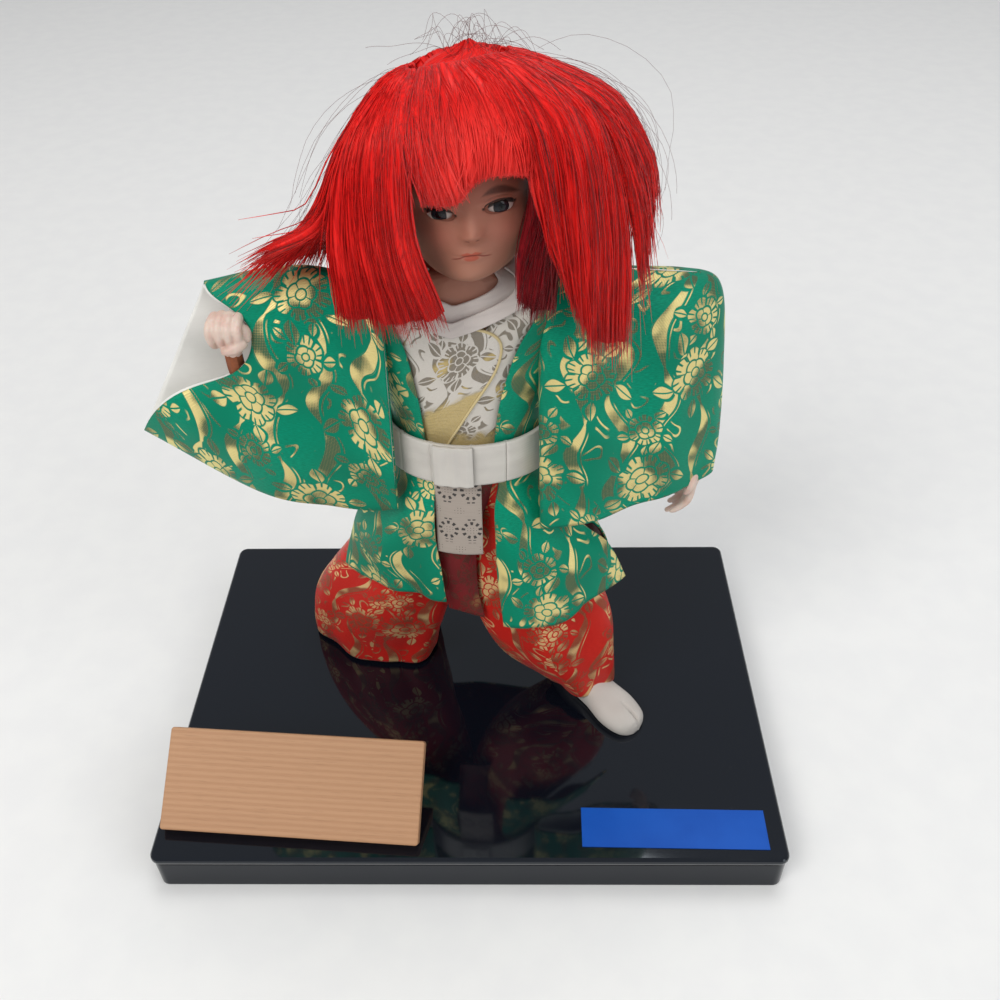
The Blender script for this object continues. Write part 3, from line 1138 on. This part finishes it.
def head_piece():
    """The face and the neck below it, in one mesh."""
    around, down = 460, 300
    turn = angles(around)
    polar = np.linspace(0.002, 0.998, down)[:, None] * np.pi
    wide = np.sin(polar)
    d = np.stack([wide * np.sin(turn), -wide * np.cos(turn), np.cos(polar) * np.ones(around)], -1)
    P = on_head(d)
    P[..., 1] -= carved_face(P[..., 0] * 1000, P[..., 2] * 1000) * np.clip(-d[..., 1], 0, 1) * 0.001
    low, forward = -P[..., 2] * 1000, -P[..., 1] * 1000
    full = CHEEK_FULL * eased((low + 1) / 14) + JAW_FULL * eased((low - 12.5) / 9)
    P[..., 0] *= 1 + full * eased((forward + 7) / 11)
    P[..., 2] -= CHIN_DROP * 0.001 * eased((forward - 1) / 9) * eased((low - 9) / 13)
    P[..., 0] -= LEAN * np.maximum(0, -P[..., 2] - LEAN_FROM * 0.001)
    points, faces = capped_tube(placed_on_head(P))
    # The neck goes down to the collars
    rings, sides, radius, x, y = 12, 64, 0.0072, 0.003, 0.0063
    heights = np.linspace(0.2148, 0.2265, rings)
    neck = np.array([[x + radius * math.sin(a), y - radius * math.cos(a), h]
                     for h in heights for a in angles(sides)])
    start = len(points)
    faces += [tuple(f + start) for f in grid_faces(rings, sides, True)]
    points = np.concatenate([points, neck, [[x, y, heights[0]]]])
    faces += [(len(points) - 1, start + i, start + (i + 1) % sides) for i in range(sides)]
    dress(mesh_object("head_face", points, faces, doll_skin), "head", "head")


def face_material():
    """Skin with painted lips, lashes and brows, on the same measures as the carved face."""
    n = Nodes("doll_skin_face")
    spot = n.place()
    # Head space in millimetres, from the middle of the head, with its roll taken out
    shift = n.new("VectorMath", operation="SUBTRACT")
    n.put(shift.inputs[0], spot)
    shift.inputs[1].default_value = tuple(HEAD_MIDDLE)
    mapping = n.new("Mapping", vector_type="POINT")
    n.put(mapping.inputs[0], shift.outputs[0])
    mapping.inputs["Rotation"].default_value = (0, -HEAD_ROLL, 0)
    mapping.inputs["Scale"].default_value = (1000, 1000, 1000)
    x, y, z = n.parts(mapping.outputs[0])
    front = (y * -1.0).step(1.0, 5.0)

    def stroke(height, line, thick, soft):
        return (thick - (height - line).abs()).step(0.0, soft) * front

    def spot_of(cx, cz, wide, tall, soft):
        dx, dz = (x - cx) / wide, (z - cz) / tall
        return (1.0 - (dx * dx + dz * dz).op("SQRT")).step(0.0, soft) * front

    skin = n.mix(n.noise(spot, 90.0, 3.0).step(0.3, 0.7), (0.39, 0.165, 0.112), (0.35, 0.140, 0.094))
    tone = n.mix((z * -1.0).step(6.0, 20.0) * 0.6, skin, (0.34, 0.170, 0.115))
    tone = n.mix(z.step(0.0, 9.0) * 0.6, tone, (0.30, 0.090, 0.062))
    cheeks = spot_of(-9.5, -6.5, 7.5, 6.5, 1.0).max(spot_of(9.5, -6.5, 7.5, 6.5, 1.0))
    tone = n.mix(cheeks * 0.5, tone, (0.47, 0.165, 0.115))
    bridge = spot_of(NOSE, -2.5, 1.5, 5.5, 1.0)
    tone = n.mix(bridge * 0.3, tone, (0.46, 0.22, 0.155))
    for side, (ex, ez) in EYES_MM.items():
        s = 1.0 if side == "left" else -1.0
        dx = (x - ex) * s
        dz = z - ez - dx * EYE_SLANT[side]
        arch = (1.0 - (dx / EYE_WIDE) * (dx / EYE_WIDE)).max(0.0).op("SQRT")
        near = (5.4 - dx.abs()).step(0.0, 0.8)
        shade = spot_of(ex, ez + 1.0, 6.5, 4.6, 1.0)
        tone = n.mix(shade * 0.45, tone, (0.33, 0.125, 0.085))
        crease = stroke(dz, arch * EYE_UP + 1.5, 0.22, 0.25) * near
        tone = n.mix(crease * 0.55, tone, (0.22, 0.085, 0.060))
        low = stroke(dz, arch * -EYE_DOWN - 0.1, 0.20, 0.22) * (4.6 - dx.abs()).step(0.0, 0.6)
        tone = n.mix(low * 0.75, tone, (0.16, 0.050, 0.035))
        corner = stroke(dz, -0.1, 0.55, 0.5) * ((dx.abs() - EYE_WIDE).abs() * -1.0).step(-0.9, -0.1)
        tone = n.mix(corner * 0.6, tone, (0.20, 0.060, 0.040))
        lash = stroke(dz, arch * EYE_UP + 0.35, 0.50, 0.30) * (EYE_WIDE + 0.9 - dx.abs()).step(0.0, 0.5)
        tone = n.mix(lash * 0.95, tone, (0.035, 0.020, 0.016))
        rise = dx * -0.16 - dx * dx * 0.072 + 5.15
        taper = 1.75 - (dx - 0.8) * (dx - 0.8) * 0.046
        brow = (taper - (z - ez - rise).abs()).step(0.0, 1.2) * front
        hairs = n.noise(n.vector(x * 1.2, z * 0.5 - x * s * 0.4), 3.0, 2.0)
        tone = n.mix(brow * (hairs * 0.4 + 0.62), tone, (0.060, 0.026, 0.020))
    x = x + (z * -1.0 - LEAN_FROM).max(0.0) * LEAN
    widened = (z * -1.0).step(-1.0, 13.0) * CHEEK_FULL + 1.0
    nose_x = x / widened - NOSE
    x = x / widened - LIPS
    lips_high = (1.0 - ((x.abs() - 1.0).abs() / 2.2)).max(0.0) * 0.95
    upper_lip = (lips_high - (z - MOUTH - 0.35).abs()).step(0.0, 0.4) * (2.9 - x.abs()).step(0.0, 0.5) * front
    lower_lip = spot_of(0.0, MOUTH - 0.75, 2.2, 0.95, 0.35)
    tone = n.mix(upper_lip.max(lower_lip) * 0.85, tone, (0.36, 0.070, 0.040))
    wave = (x * 0.95).cos() * 0.28 - x * x * 0.056 + MOUTH
    parting = stroke(z, wave, 0.30, 0.25) * (5.4 - x.abs()).step(0.0, 1.4)
    tone = n.mix(parting * 0.9, tone, (0.16, 0.025, 0.018))
    side_x, side_z = (nose_x.abs() - 1.3) / 0.75, (z - NOSTRIL) / 0.42
    nostrils = (1.0 - (side_x * side_x + side_z * side_z).op("SQRT")).step(0.0, 0.6) * front
    tone = n.mix(nostrils * 0.8, tone, (0.17, 0.050, 0.035))
    fine = n.noise(spot, 1100.0, 3.0)
    return n.set(color=tone, rough=0.48, specular=0.22, normal=n.bump(fine, 0.08, 0.00005), subsurface=0.06,
                 subsurface_scale=0.001)


doll_skin = face_material()
head_piece()


def eye_material():
    """Dark iris on a pale ball, drawn round the pole that looks forward."""
    n = Nodes("eye_glass_iris")
    x, z, _ = n.parts(n.new("UVMap", uv_map="cloth").outputs[0])
    away = (x * x + z * z).op("SQRT")
    streak = n.noise(n.vector(z.op("ARCTAN2", x) * 4.0, away * 0.4), 1.6, 2.0)
    iris = n.mix(streak.step(0.3, 0.7), (0.007, 0.007, 0.010), (0.020, 0.020, 0.026))
    tone = n.mix(away.step(2.15, 2.40), iris, (0.44, 0.36, 0.33))
    tone = n.mix(1.0 - away.step(0.95, 1.1), tone, (0.004, 0.004, 0.005))
    tone = n.mix(away.step(1.85, 2.05) * (1.0 - away.step(2.25, 2.45)), tone, (0.012, 0.010, 0.012))
    tone = n.mix(x.abs().step(3.0, 4.2) * 0.6, tone, (0.40, 0.17, 0.13))
    # The upper lid's lashes and their shade
    tone = n.mix((z + x * x * 0.075).step(1.00, 1.35) * 0.9, tone, (0.014, 0.009, 0.008))
    return n.set(color=tone, rough=0.10, coat=0.15, coat_rough=0.03, specular=0.22,
                 normal=n.bump(streak, 0.02, 0.00002))


def eye_piece(side, material):
    ex, ez = EYES[side]
    direction = np.array([ex * 2, 0.0, ez * 2])
    direction[1] = -math.sqrt(1 - direction[0] ** 2 - direction[2] ** 2)
    middle = on_head(direction[None, :])[0] + np.array([0, 0.0040 * 0.28, 0])
    around, down = 48, 32
    turn = angles(around)
    polar = np.linspace(0.02, 0.98, down)[:, None] * np.pi
    # The pole looks forward, so the rings run round the iris
    x = np.sin(polar) * np.cos(turn) * 0.0042
    z = np.sin(polar) * np.sin(turn) * 0.0024
    y = -np.cos(polar) * np.ones(around) * 0.0020
    spin = math.atan2(direction[0], -direction[1]) * 0.6
    P = np.stack([x * math.cos(spin) - y * math.sin(spin), x * math.sin(spin) + y * math.cos(spin), z], -1)
    P = placed_on_head(P + middle)
    ring = np.stack([x * 1000, z * 1000], -1)
    obj = grid_object(side + "_eye_glass", P, material, closed_up(ring, True), closed=True)
    dress(obj, side + "_eye", "head")


eye_look = eye_material()
for side in EYES:
    eye_piece(side, eye_look)


# Wig: each lock is a combed sheet with loose strands over it

# The wig's top, seen from the middle of the head, and each lock's rows of points from there, as shares
WIG_TOP = (-0.017 * 0.35, 0.115 * 0.39, 0.74 * 0.50)
LOCKS = {
    "fringe": [
        [[-0.118, -0.06, -0.042], [-0.08, -0.078, -0.03], [-0.03, -0.085, -0.02], [0.03, -0.078, -0.013]],
        [[-0.142, -0.142, -0.09], [-0.07, -0.165, -0.07], [0.01, -0.172, -0.06], [0.105, -0.155, -0.055]],
        [[-0.146, -0.215, -0.155], [-0.06, -0.24, -0.14], [0.045, -0.245, -0.125], [0.158, -0.222, -0.13]],
        [[-0.138, -0.258, -0.23], [-0.045, -0.28, -0.215], [0.055, -0.28, -0.18], [0.178, -0.252, -0.182]],
        [[-0.118, -0.275, -0.318], [-0.022, -0.296, -0.314], [0.052, -0.292, -0.244],
         [0.186, -0.267, -0.246]]],
    "front_right": [
        [[-0.152, -0.005, -0.058], [-0.15, -0.028, -0.054], [-0.142, -0.045, -0.05],
         [-0.128, -0.058, -0.045]],
        [[-0.215, -0.05, -0.09], [-0.205, -0.09, -0.088], [-0.18, -0.125, -0.086], [-0.14, -0.15, -0.084]],
        [[-0.325, -0.13, -0.22], [-0.285, -0.18, -0.215], [-0.22, -0.22, -0.205], [-0.14, -0.238, -0.195]],
        [[-0.385, -0.2, -0.42], [-0.31, -0.245, -0.43], [-0.225, -0.272, -0.43], [-0.138, -0.282, -0.42]],
        [[-0.395, -0.245, -0.67], [-0.295, -0.27, -0.69], [-0.18, -0.282, -0.69], [-0.072, -0.278, -0.66]]],
    "side_right": [
        [[-0.154, 0.005, -0.062], [-0.152, 0.03, -0.064], [-0.138, 0.058, -0.064]],
        [[-0.224, -0.035, -0.098], [-0.235, 0.01, -0.102], [-0.21, 0.065, -0.108]],
        [[-0.338, -0.1, -0.245], [-0.355, -0.01, -0.265], [-0.31, 0.1, -0.275]],
        [[-0.425, -0.17, -0.42], [-0.45, -0.06, -0.45], [-0.39, 0.13, -0.48]],
        [[-0.58, -0.2, -0.49], [-0.59, -0.1, -0.585], [-0.46, 0.13, -0.645]]],
    "front_left": [
        [[0.02, -0.08, -0.012], [0.06, -0.068, -0.01], [0.09, -0.05, -0.012], [0.112, -0.025, -0.018]],
        [[0.088, -0.16, -0.052], [0.145, -0.138, -0.048], [0.188, -0.105, -0.048], [0.218, -0.065, -0.053]],
        [[0.145, -0.235, -0.15], [0.235, -0.215, -0.152], [0.31, -0.18, -0.153], [0.365, -0.135, -0.153]],
        [[0.186, -0.268, -0.31], [0.28, -0.26, -0.38], [0.365, -0.245, -0.42], [0.445, -0.205, -0.42]],
        [[0.245, -0.275, -0.46], [0.32, -0.28, -0.66], [0.385, -0.275, -0.765], [0.475, -0.255, -0.765]]],
    "side_left": [
        [[0.118, -0.012, -0.022], [0.124, 0.02, -0.022], [0.112, 0.055, -0.026]],
        [[0.228, -0.055, -0.057], [0.24, -0.01, -0.05], [0.22, 0.06, -0.062]],
        [[0.372, -0.125, -0.15], [0.408, -0.04, -0.128], [0.37, 0.1, -0.15]],
        [[0.462, -0.175, -0.36], [0.508, -0.06, -0.275], [0.445, 0.15, -0.34]],
        [[0.5, -0.2, -0.57], [0.53, -0.08, -0.405], [0.455, 0.16, -0.58]]],
    "back": [
        [[-0.125, 0.066, -0.058], [-0.07, 0.092, -0.04], [0.01, 0.102, -0.028], [0.065, 0.092, -0.028],
         [0.103, 0.066, -0.03]],
        [[-0.19, 0.075, -0.105], [-0.1, 0.115, -0.085], [0.01, 0.13, -0.075], [0.11, 0.115, -0.07],
         [0.2, 0.08, -0.075]],
        [[-0.325, 0.11, -0.28], [-0.18, 0.23, -0.26], [0.01, 0.26, -0.24], [0.18, 0.23, -0.22],
         [0.35, 0.135, -0.19]],
        [[-0.405, 0.13, -0.5], [-0.22, 0.28, -0.52], [0.01, 0.31, -0.52], [0.21, 0.28, -0.49],
         [0.4, 0.19, -0.43]],
        [[-0.415, 0.145, -0.7], [-0.22, 0.29, -0.89], [0.01, 0.32, -0.94], [0.21, 0.29, -0.88],
         [0.38, 0.22, -0.7]]],
    "inner_left": [
        [[0.182, -0.15, -0.29], [0.234, -0.105, -0.28], [0.254, -0.04, -0.28]],
        [[0.176, -0.175, -0.4], [0.24, -0.14, -0.4], [0.275, -0.07, -0.4]],
        [[0.147, -0.2, -0.53], [0.215, -0.185, -0.54], [0.262, -0.145, -0.54]],
        [[0.14, -0.22, -0.64], [0.195, -0.23, -0.68], [0.252, -0.215, -0.68]]],
}


def hair_material(name, deep, mid, light):
    """Combed silk: bright strands, dark partings and a shine over the fringe."""
    n = Nodes(name)
    _, u, v = n.uv()
    strands = n.noise(n.vector(u * 4.5, v * 0.10), 1.0, 3.0, 0.6)
    bands = n.noise(n.vector(u * 0.7, v * 0.03, 5.0), 1.0, 2.0)
    tone = n.mix(strands.step(0.22, 0.62), deep, mid)
    tone = n.mix(bands.step(0.5, 0.75) * 0.5, tone, light)
    parting = n.noise(n.vector(u * 0.32, v * 0.012, 9.0), 1.0, 2.0, 0.7)
    tone = n.mix((0.47 - parting).step(0.0, 0.10) * 0.55, tone, dimmed(deep, 0.45))
    px, py, pz = n.parts(n.place())
    px, pz = px - HEAD_MIDDLE[0] - 0.004, pz - HEAD_MIDDLE[2] - 0.010
    far = (px * px * 1.6 + pz * pz).op("SQRT")
    shine = (0.024 - far).step(0.0, 0.014) * (py * -1.0).step(0.004, 0.014)
    tone = n.mix(shine * (strands * 0.5 + 0.50), tone, (1.0, 0.060, 0.050))
    tangent = n.new("Tangent", direction_type="UV_MAP", uv_map="cloth").outputs[0]
    return n.set(color=tone, rough=0.36, specular=0.30, normal=n.bump(strands, 0.55, 0.00025), sheen=0.1,
                 sheen_rough=0.35, anisotropic=0.6, tangent=tangent, tint=(1.0, 0.40, 0.34, 1.0))


hair_look = hair_material("red_hair_silk", (0.32, 0.004, 0.007), (0.82, 0.014, 0.012), (0.95, 0.034, 0.026))
inner_look = hair_material("inner_hair_silk", (0.07, 0.002, 0.006), (0.26, 0.006, 0.012),
                           (0.34, 0.010, 0.014))
fine_hair = rough_fibre("fine_hair", (0.16, 0.010, 0.012), (0.07, 0.006, 0.008), 900.0, 0.4)


def on_wig(p):
    return HEAD_MIDDLE + (np.array(WIG_TOP) + np.asarray(p, float)) * FIGURE


def strand_tubes(name, lines, radii, ids, material, sides=3):
    """Thin closed tubes along lines, an array of strand, step, place."""
    count, steps = lines.shape[:2]
    tangent = unit(np.gradient(lines, axis=1))
    side = unit(np.cross(tangent, lines - HEAD_MIDDLE))
    up = np.cross(side, tangent)
    a = angles(sides)
    ring = side[:, :, None] * np.cos(a)[:, None] + up[:, :, None] * np.sin(a)[:, None]
    points = lines[:, :, None] + ring * radii[:, :, None, None]
    base = np.arange(count)[:, None, None] * steps * sides
    j, i = np.meshgrid(np.arange(steps - 1), np.arange(sides), indexing="ij")
    p, q = j * sides + i, j * sides + (i + 1) % sides
    quads = np.stack([p, q, q + sides, p + sides], -1)[None] + base[..., None]
    first = np.stack([base[:, 0, 0] + k for k in reversed(range(sides))], -1)
    last = np.stack([base[:, 0, 0] + (steps - 1) * sides + k for k in range(sides)], -1)
    faces = list(quads.reshape(-1, 4)) + list(first) + list(last)
    obj = mesh_object(name, points.reshape(-1, 3), faces, material)
    length = np.cumsum(np.linalg.norm(np.diff(lines, axis=1), axis=-1), 1)
    length = np.concatenate([np.zeros((count, 1)), length], 1) * 1000
    u = np.broadcast_to(ids[:, None], (count, steps))
    uv = np.stack([np.repeat(u[:, :, None], sides, 2), -np.repeat(length[:, :, None], sides, 2)], -1)
    set_uv(obj, uv.reshape(-1, 2)[np.concatenate(faces)])
    dress(obj, None, "head")


def lock_piece(name, seed, look):
    """A combed lock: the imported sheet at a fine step, thin at its sides and tip. Gives points and normals."""
    across, down = 150, 90
    P = surface([on_wig(row) for row in LOCKS[name]], across, down)
    u, v = np.linspace(0, 1, across)[None, :], np.linspace(0, 1, down)[:, None]
    out = unit(P - HEAD_MIDDLE)
    combed = smooth_noise(P.shape[:2], (2, 40), seed) * 0.6 + smooth_noise(P.shape[:2], (2, 15), seed + 1)
    rise = 0.0005 * np.sin(u * np.pi * 5) * v + combed * 0.0006 * np.minimum(1, v * 5 + 0.2)
    P = P + out * rise[..., None]
    edge = np.minimum(1, np.minimum(u, 1 - u) * 14 + 0.12) * np.minimum(1, (1 - v) * 6 + 0.02)
    half = ((0.0040 - 0.0008 * v) / 2 * np.sqrt(edge))[..., None] * 0.9
    n = normals_of(P)
    n *= np.sign(np.sum(n * out, axis=-1, keepdims=True))
    count = across * down
    grid = grid_faces(down, across)
    rim = np.concatenate([np.arange(across), np.arange(1, down) * across + across - 1,
                          (down - 1) * across + np.arange(across - 1)[::-1],
                          np.arange(1, down - 1)[::-1] * across])
    faces = [tuple(f) for f in grid] + [tuple(f[::-1] + count) for f in grid]
    faces += [(a, b, b + count, a + count) for a, b in zip(rim, np.roll(rim, -1))]
    points = np.concatenate([(P + n * half).reshape(-1, 3), (P - n * half).reshape(-1, 3)])
    obj = mesh_object("hair_" + name + "_lock", points, faces, look)
    uv = cloth_uv(P).reshape(-1, 2)
    set_uv(obj, np.concatenate([uv, uv])[np.concatenate(faces)])
    dress(obj, "hair_" + name, "head")
    return P, n


def strands_of(name, P, n, count, seed, ragged, spread, look):
    """Loose strands over a lock's two faces. They end a little above or below its tip, and some stray."""
    gen = np.random.default_rng(seed)
    down, across = P.shape[:2]
    start = gen.uniform(0.0, 0.45, count) ** 1.6
    end = gen.normal(1.0, spread, count) + gen.exponential(ragged, count)
    u0 = gen.uniform(0.0, 1.0, count)
    drift = gen.normal(0, 0.03, count)
    swing = gen.uniform(0, 6.28, count)
    t = np.linspace(0, 1, 13)[None, :]
    v = start[:, None] + (end - start)[:, None] * t
    u = np.clip(u0[:, None] + drift[:, None] * t + 0.012 * np.sin(t * 5 + swing[:, None]), 0.02, 0.98)
    over = np.maximum(0, v - 1)
    j, i = np.minimum(v, 1) * (down - 1), u * (across - 1)
    j0, i0 = np.minimum(j.astype(int), down - 2), np.minimum(i.astype(int), across - 2)
    fj, fi = (j - j0)[..., None], (i - i0)[..., None]

    def pick(A):
        return ((A[j0, i0] * (1 - fi) + A[j0, i0 + 1] * fi) * (1 - fj)
                + (A[j0 + 1, i0] * (1 - fi) + A[j0 + 1, i0 + 1] * fi) * fj)

    onward = np.broadcast_to((P[-1] - P[-4]) * (down - 1) / 3, P.shape)
    place, normal = pick(P) + pick(onward) * over[..., None], pick(n)
    side = gen.choice([1.0, 1.0, 1.0, -1.0], count)[:, None]
    lift = side * (0.0017 + gen.uniform(-0.0004, 0.0004, count)[:, None]) * (1 - 0.5 * t**3)
    lift = lift + t**2 * gen.normal(0, 0.0007, count)[:, None]
    loose = (gen.uniform(0, 1, count) < 0.06) * gen.normal(0, 0.0035, count)
    lines = place + normal * (lift + t**2.5 * loose[:, None])[..., None]
    wide = gen.uniform(0.00009, 0.00024, count)[:, None]
    radii = wide * np.sqrt(np.clip(np.sin(np.pi * (0.05 + 0.93 * t)), 0.03, 1))
    strand_tubes("hair_" + name + "_strands", lines, radii, gen.uniform(0, 900, count), look)


def fly_away(P, n, count, seed):
    """Lines of single fine hairs that bow out from a lock and come back to it, or leave it at its tip."""
    gen = np.random.default_rng(seed)
    down, across = P.shape[:2]
    t = np.linspace(0, 1, 16)[None, :]

    def one_each(draw, *limits):
        return draw(*limits, count)[:, None]

    first = one_each(gen.uniform, 0.0, 0.5)
    v = first + (one_each(gen.uniform, 0.75, 1.08) - first) * t
    u = np.clip(one_each(gen.uniform, 0, 1) + one_each(gen.normal, 0, 0.06) * t, 0, 1)
    j, i = (np.minimum(v, 1) * (down - 1)).astype(int), (u * (across - 1)).astype(int)
    bow = 0.0014 + one_each(gen.exponential, 0.0030) * np.sin(np.pi * t * one_each(gen.uniform, 0.55, 1.0))
    wave = 0.0006 * np.sin(t * one_each(gen.uniform, 3, 9) + one_each(gen.uniform, 0, 6))
    lines = P[j, i] + n[j, i] * (bow + wave)[..., None]
    return np.apply_along_axis(smoothed, 1, lines)


def smoothed(line):
    return np.convolve(np.pad(line, 2, "edge"), np.ones(5) / 5, "valid")


# Each lock's number of strands, and how far their ends hang beyond its tip and vary, as shares of its length
STRANDS = {
    "fringe": (900, 0.004, 0.012), "front_right": (900, 0.010, 0.025), "side_right": (850, 0.045, 0.03),
    "front_left": (900, 0.012, 0.025), "side_left": (950, 0.05, 0.03), "back": (800, 0.015, 0.03),
    "inner_left": (350, 0.02, 0.03)}
fine_lines = []
for k, (name, (count, ragged, spread)) in enumerate(STRANDS.items()):
    look = inner_look if name == "inner_left" else hair_look
    P, n = lock_piece(name, 100 + 7 * k, look)
    strands_of(name, P, n, count, 300 + k, ragged, spread, look)
    if name in ("side_right", "front_left", "side_left", "back"):
        fine_lines.append(fly_away(P, n, 54, 700 + k))


def cap_points(offset, around, down, brow):
    """The wig's own cap on the head: its rim is level at the back and higher by brow over the brow."""
    v = np.linspace(0, 1, down)[:, None]
    polar = (0.04 + 0.46 * v) * np.pi
    turn = angles(around)[None, :]
    wide = np.sin(polar)
    d = np.stack([wide * np.sin(turn), wide * np.cos(turn), np.cos(polar) * np.ones_like(turn)], -1)
    d[..., 2] += v * brow * np.maximum(0, -np.cos(turn)) ** 1.2
    return placed_on_head(on_head(unit(d), offset))


P = cap_points(0.0010, 200, 60, 0.52)
cap = grid_object("wig_cap_net", P, wig_net, closed=True, uv=cloth_uv(P, True))
thicken(cap, 0.0009)
dress(cap, "wig_cap", "head")
# The flat hair over the net, under all locks
P = cap_points(0.0020, 260, 70, 0.56)
P = P + unit(P - HEAD_MIDDLE) * (smooth_noise(P.shape[:2], (2, 90), 88, True) * 0.00035)[..., None]
under = grid_object("hair_under_layer", P, hair_look, closed=True, uv=cloth_uv(P, True))
thicken(under, 0.0008)
dress(under, None, "head")


def crown_piece():
    """The dome of combed hair over the head's top, from which all locks fall."""
    around, down = 220, 60
    middle = on_wig((0.01, -0.01, -0.135))
    turn = angles(around)
    polar = np.linspace(0.02, 1.0, down)[:, None] * np.pi / 2
    wide = np.sin(polar)
    out = np.stack([wide * np.cos(turn), wide * np.sin(turn), np.cos(polar) * np.ones(around)], -1)
    out *= [0.0165, 0.0135, 0.0140]
    comb = smooth_noise((down, around), (2, 70), 77, True) * 0.0004
    comb += smooth_noise((down, around), (1, 26), 78, True) * 0.0005
    P = middle + out + unit(out) * comb[..., None]
    # The tuft where the crown's hair is tied
    spread = np.hypot(P[..., 0] - middle[0] - 0.0005, P[..., 1] - middle[1]) / 0.0034
    P[..., 2] += 0.0022 * np.exp(-(spread ** 1.6))
    obj = grid_object("hair_crown_dome", P, hair_look, closed=True, uv=cloth_uv(P, True))
    dress(obj, "hair_crown", "head")


def fine_hairs(lines):
    """Single hairs off the locks, and a few long loops that stand over the crown."""
    gen = np.random.default_rng(61)
    count = 44
    t = np.linspace(0, 1, 16)[None, :, None]
    turn = gen.uniform(0, 2 * np.pi, count)
    flat = np.zeros(count)
    root = on_wig((0.01, 0.0, -0.02)) + np.stack([np.cos(turn) * 0.006, np.sin(turn) * 0.005, flat], -1)
    aim = gen.normal(0.15, 0.9, count)
    away = np.stack([np.cos(aim) * np.sign(gen.uniform(-0.8, 1, count)), np.sin(aim) * 0.5, flat], -1)
    reach = gen.uniform(0.004, 0.028, count)[:, None, None]
    rise = gen.uniform(0.003, 0.011, count)[:, None, None]
    loops = root[:, None] + away[:, None] * reach * t
    loops[..., 2:] += rise * np.sin(np.pi * t * 0.95)
    curl = np.stack([np.sin(t[..., 0] * 6 + turn[:, None]), np.cos(t[..., 0] * 5 + 2 * turn[:, None]),
                     np.sin(t[..., 0] * 7 + 3 * turn[:, None])], -1)
    lines = np.concatenate([*lines, loops + curl * 0.0016 * t])
    lines[..., 2] = np.minimum(lines[..., 2], 0.2925)
    radii = np.full(lines.shape[:2], 0.000045)
    strand_tubes("hair_stray", lines, radii, gen.uniform(0, 900, len(lines)), fine_hair)


crown_piece()
fine_hairs(fine_lines)


# Stage, light and camera

def floor_piece():
    bpy.ops.mesh.primitive_plane_add(size=6.0, location=(0, 0, -0.0004))
    floor = bpy.context.object
    floor.name = "floor"
    n = Nodes("floor_paper")
    grain = n.noise(n.place(), 60.0, 3.0)
    tone = n.mix(grain.step(0.3, 0.7), (0.80, 0.80, 0.79), (0.78, 0.78, 0.775))
    floor.data.materials.append(n.set(color=tone, rough=0.85, specular=0.15))


def lamp(name, place, target, size, power, color=(1, 1, 1)):
    data = bpy.data.lights.new(name, "AREA")
    data.shape = "RECTANGLE"
    data.size, data.size_y = size
    data.energy, data.color = power, color
    obj = bpy.data.objects.new(name, data)
    obj.location = place
    obj.rotation_euler = (Vector(target) - Vector(place)).to_track_quat("-Z", "Y").to_euler()
    scene.collection.objects.link(obj)


floor_piece()
lamp("key", (-0.9, -1.0, 1.5), (0, 0, 0.12), (0.9, 0.9), 19.0, (1.0, 0.985, 0.96))
lamp("fill", (1.2, -0.7, 1.0), (0, 0, 0.12), (1.2, 1.0), 8.0, (0.96, 0.98, 1.0))
lamp("top", (0.25, 0.6, 2.2), (0, 0, 0.12), (1.2, 1.0), 16.0)

world = bpy.data.worlds.new("studio")
scene.world = world
world.use_nodes = True
background = world.node_tree.nodes["Background"]
background.inputs[0].default_value = (0.90, 0.91, 0.93, 1)
background.inputs[1].default_value = 0.42

# The camera that was matched to the photo, its angles in degrees down, round and across
camera_data = bpy.data.cameras.new("camera")
camera_data.lens = 36.0
camera_data.sensor_width = 36.0
camera = bpy.data.objects.new("camera", camera_data)
PITCH, YAW, ROLL = math.radians(40.74), math.radians(-1.31), math.radians(-1.14)
forward = Vector((math.sin(YAW) * math.cos(PITCH), math.cos(YAW) * math.cos(PITCH), -math.sin(PITCH)))
level = Vector((math.cos(YAW), -math.sin(YAW), 0))
raised = level.cross(forward)
right = level * math.cos(ROLL) + raised * math.sin(ROLL)
up = raised * math.cos(ROLL) - level * math.sin(ROLL)
turned = Matrix((right, up, -forward)).transposed().to_4x4()
camera.matrix_world = Matrix.Translation((0.0191, -0.2787, 0.3620)) @ turned
scene.collection.objects.link(camera)
scene.camera = camera

scene.view_settings.view_transform = "Standard"
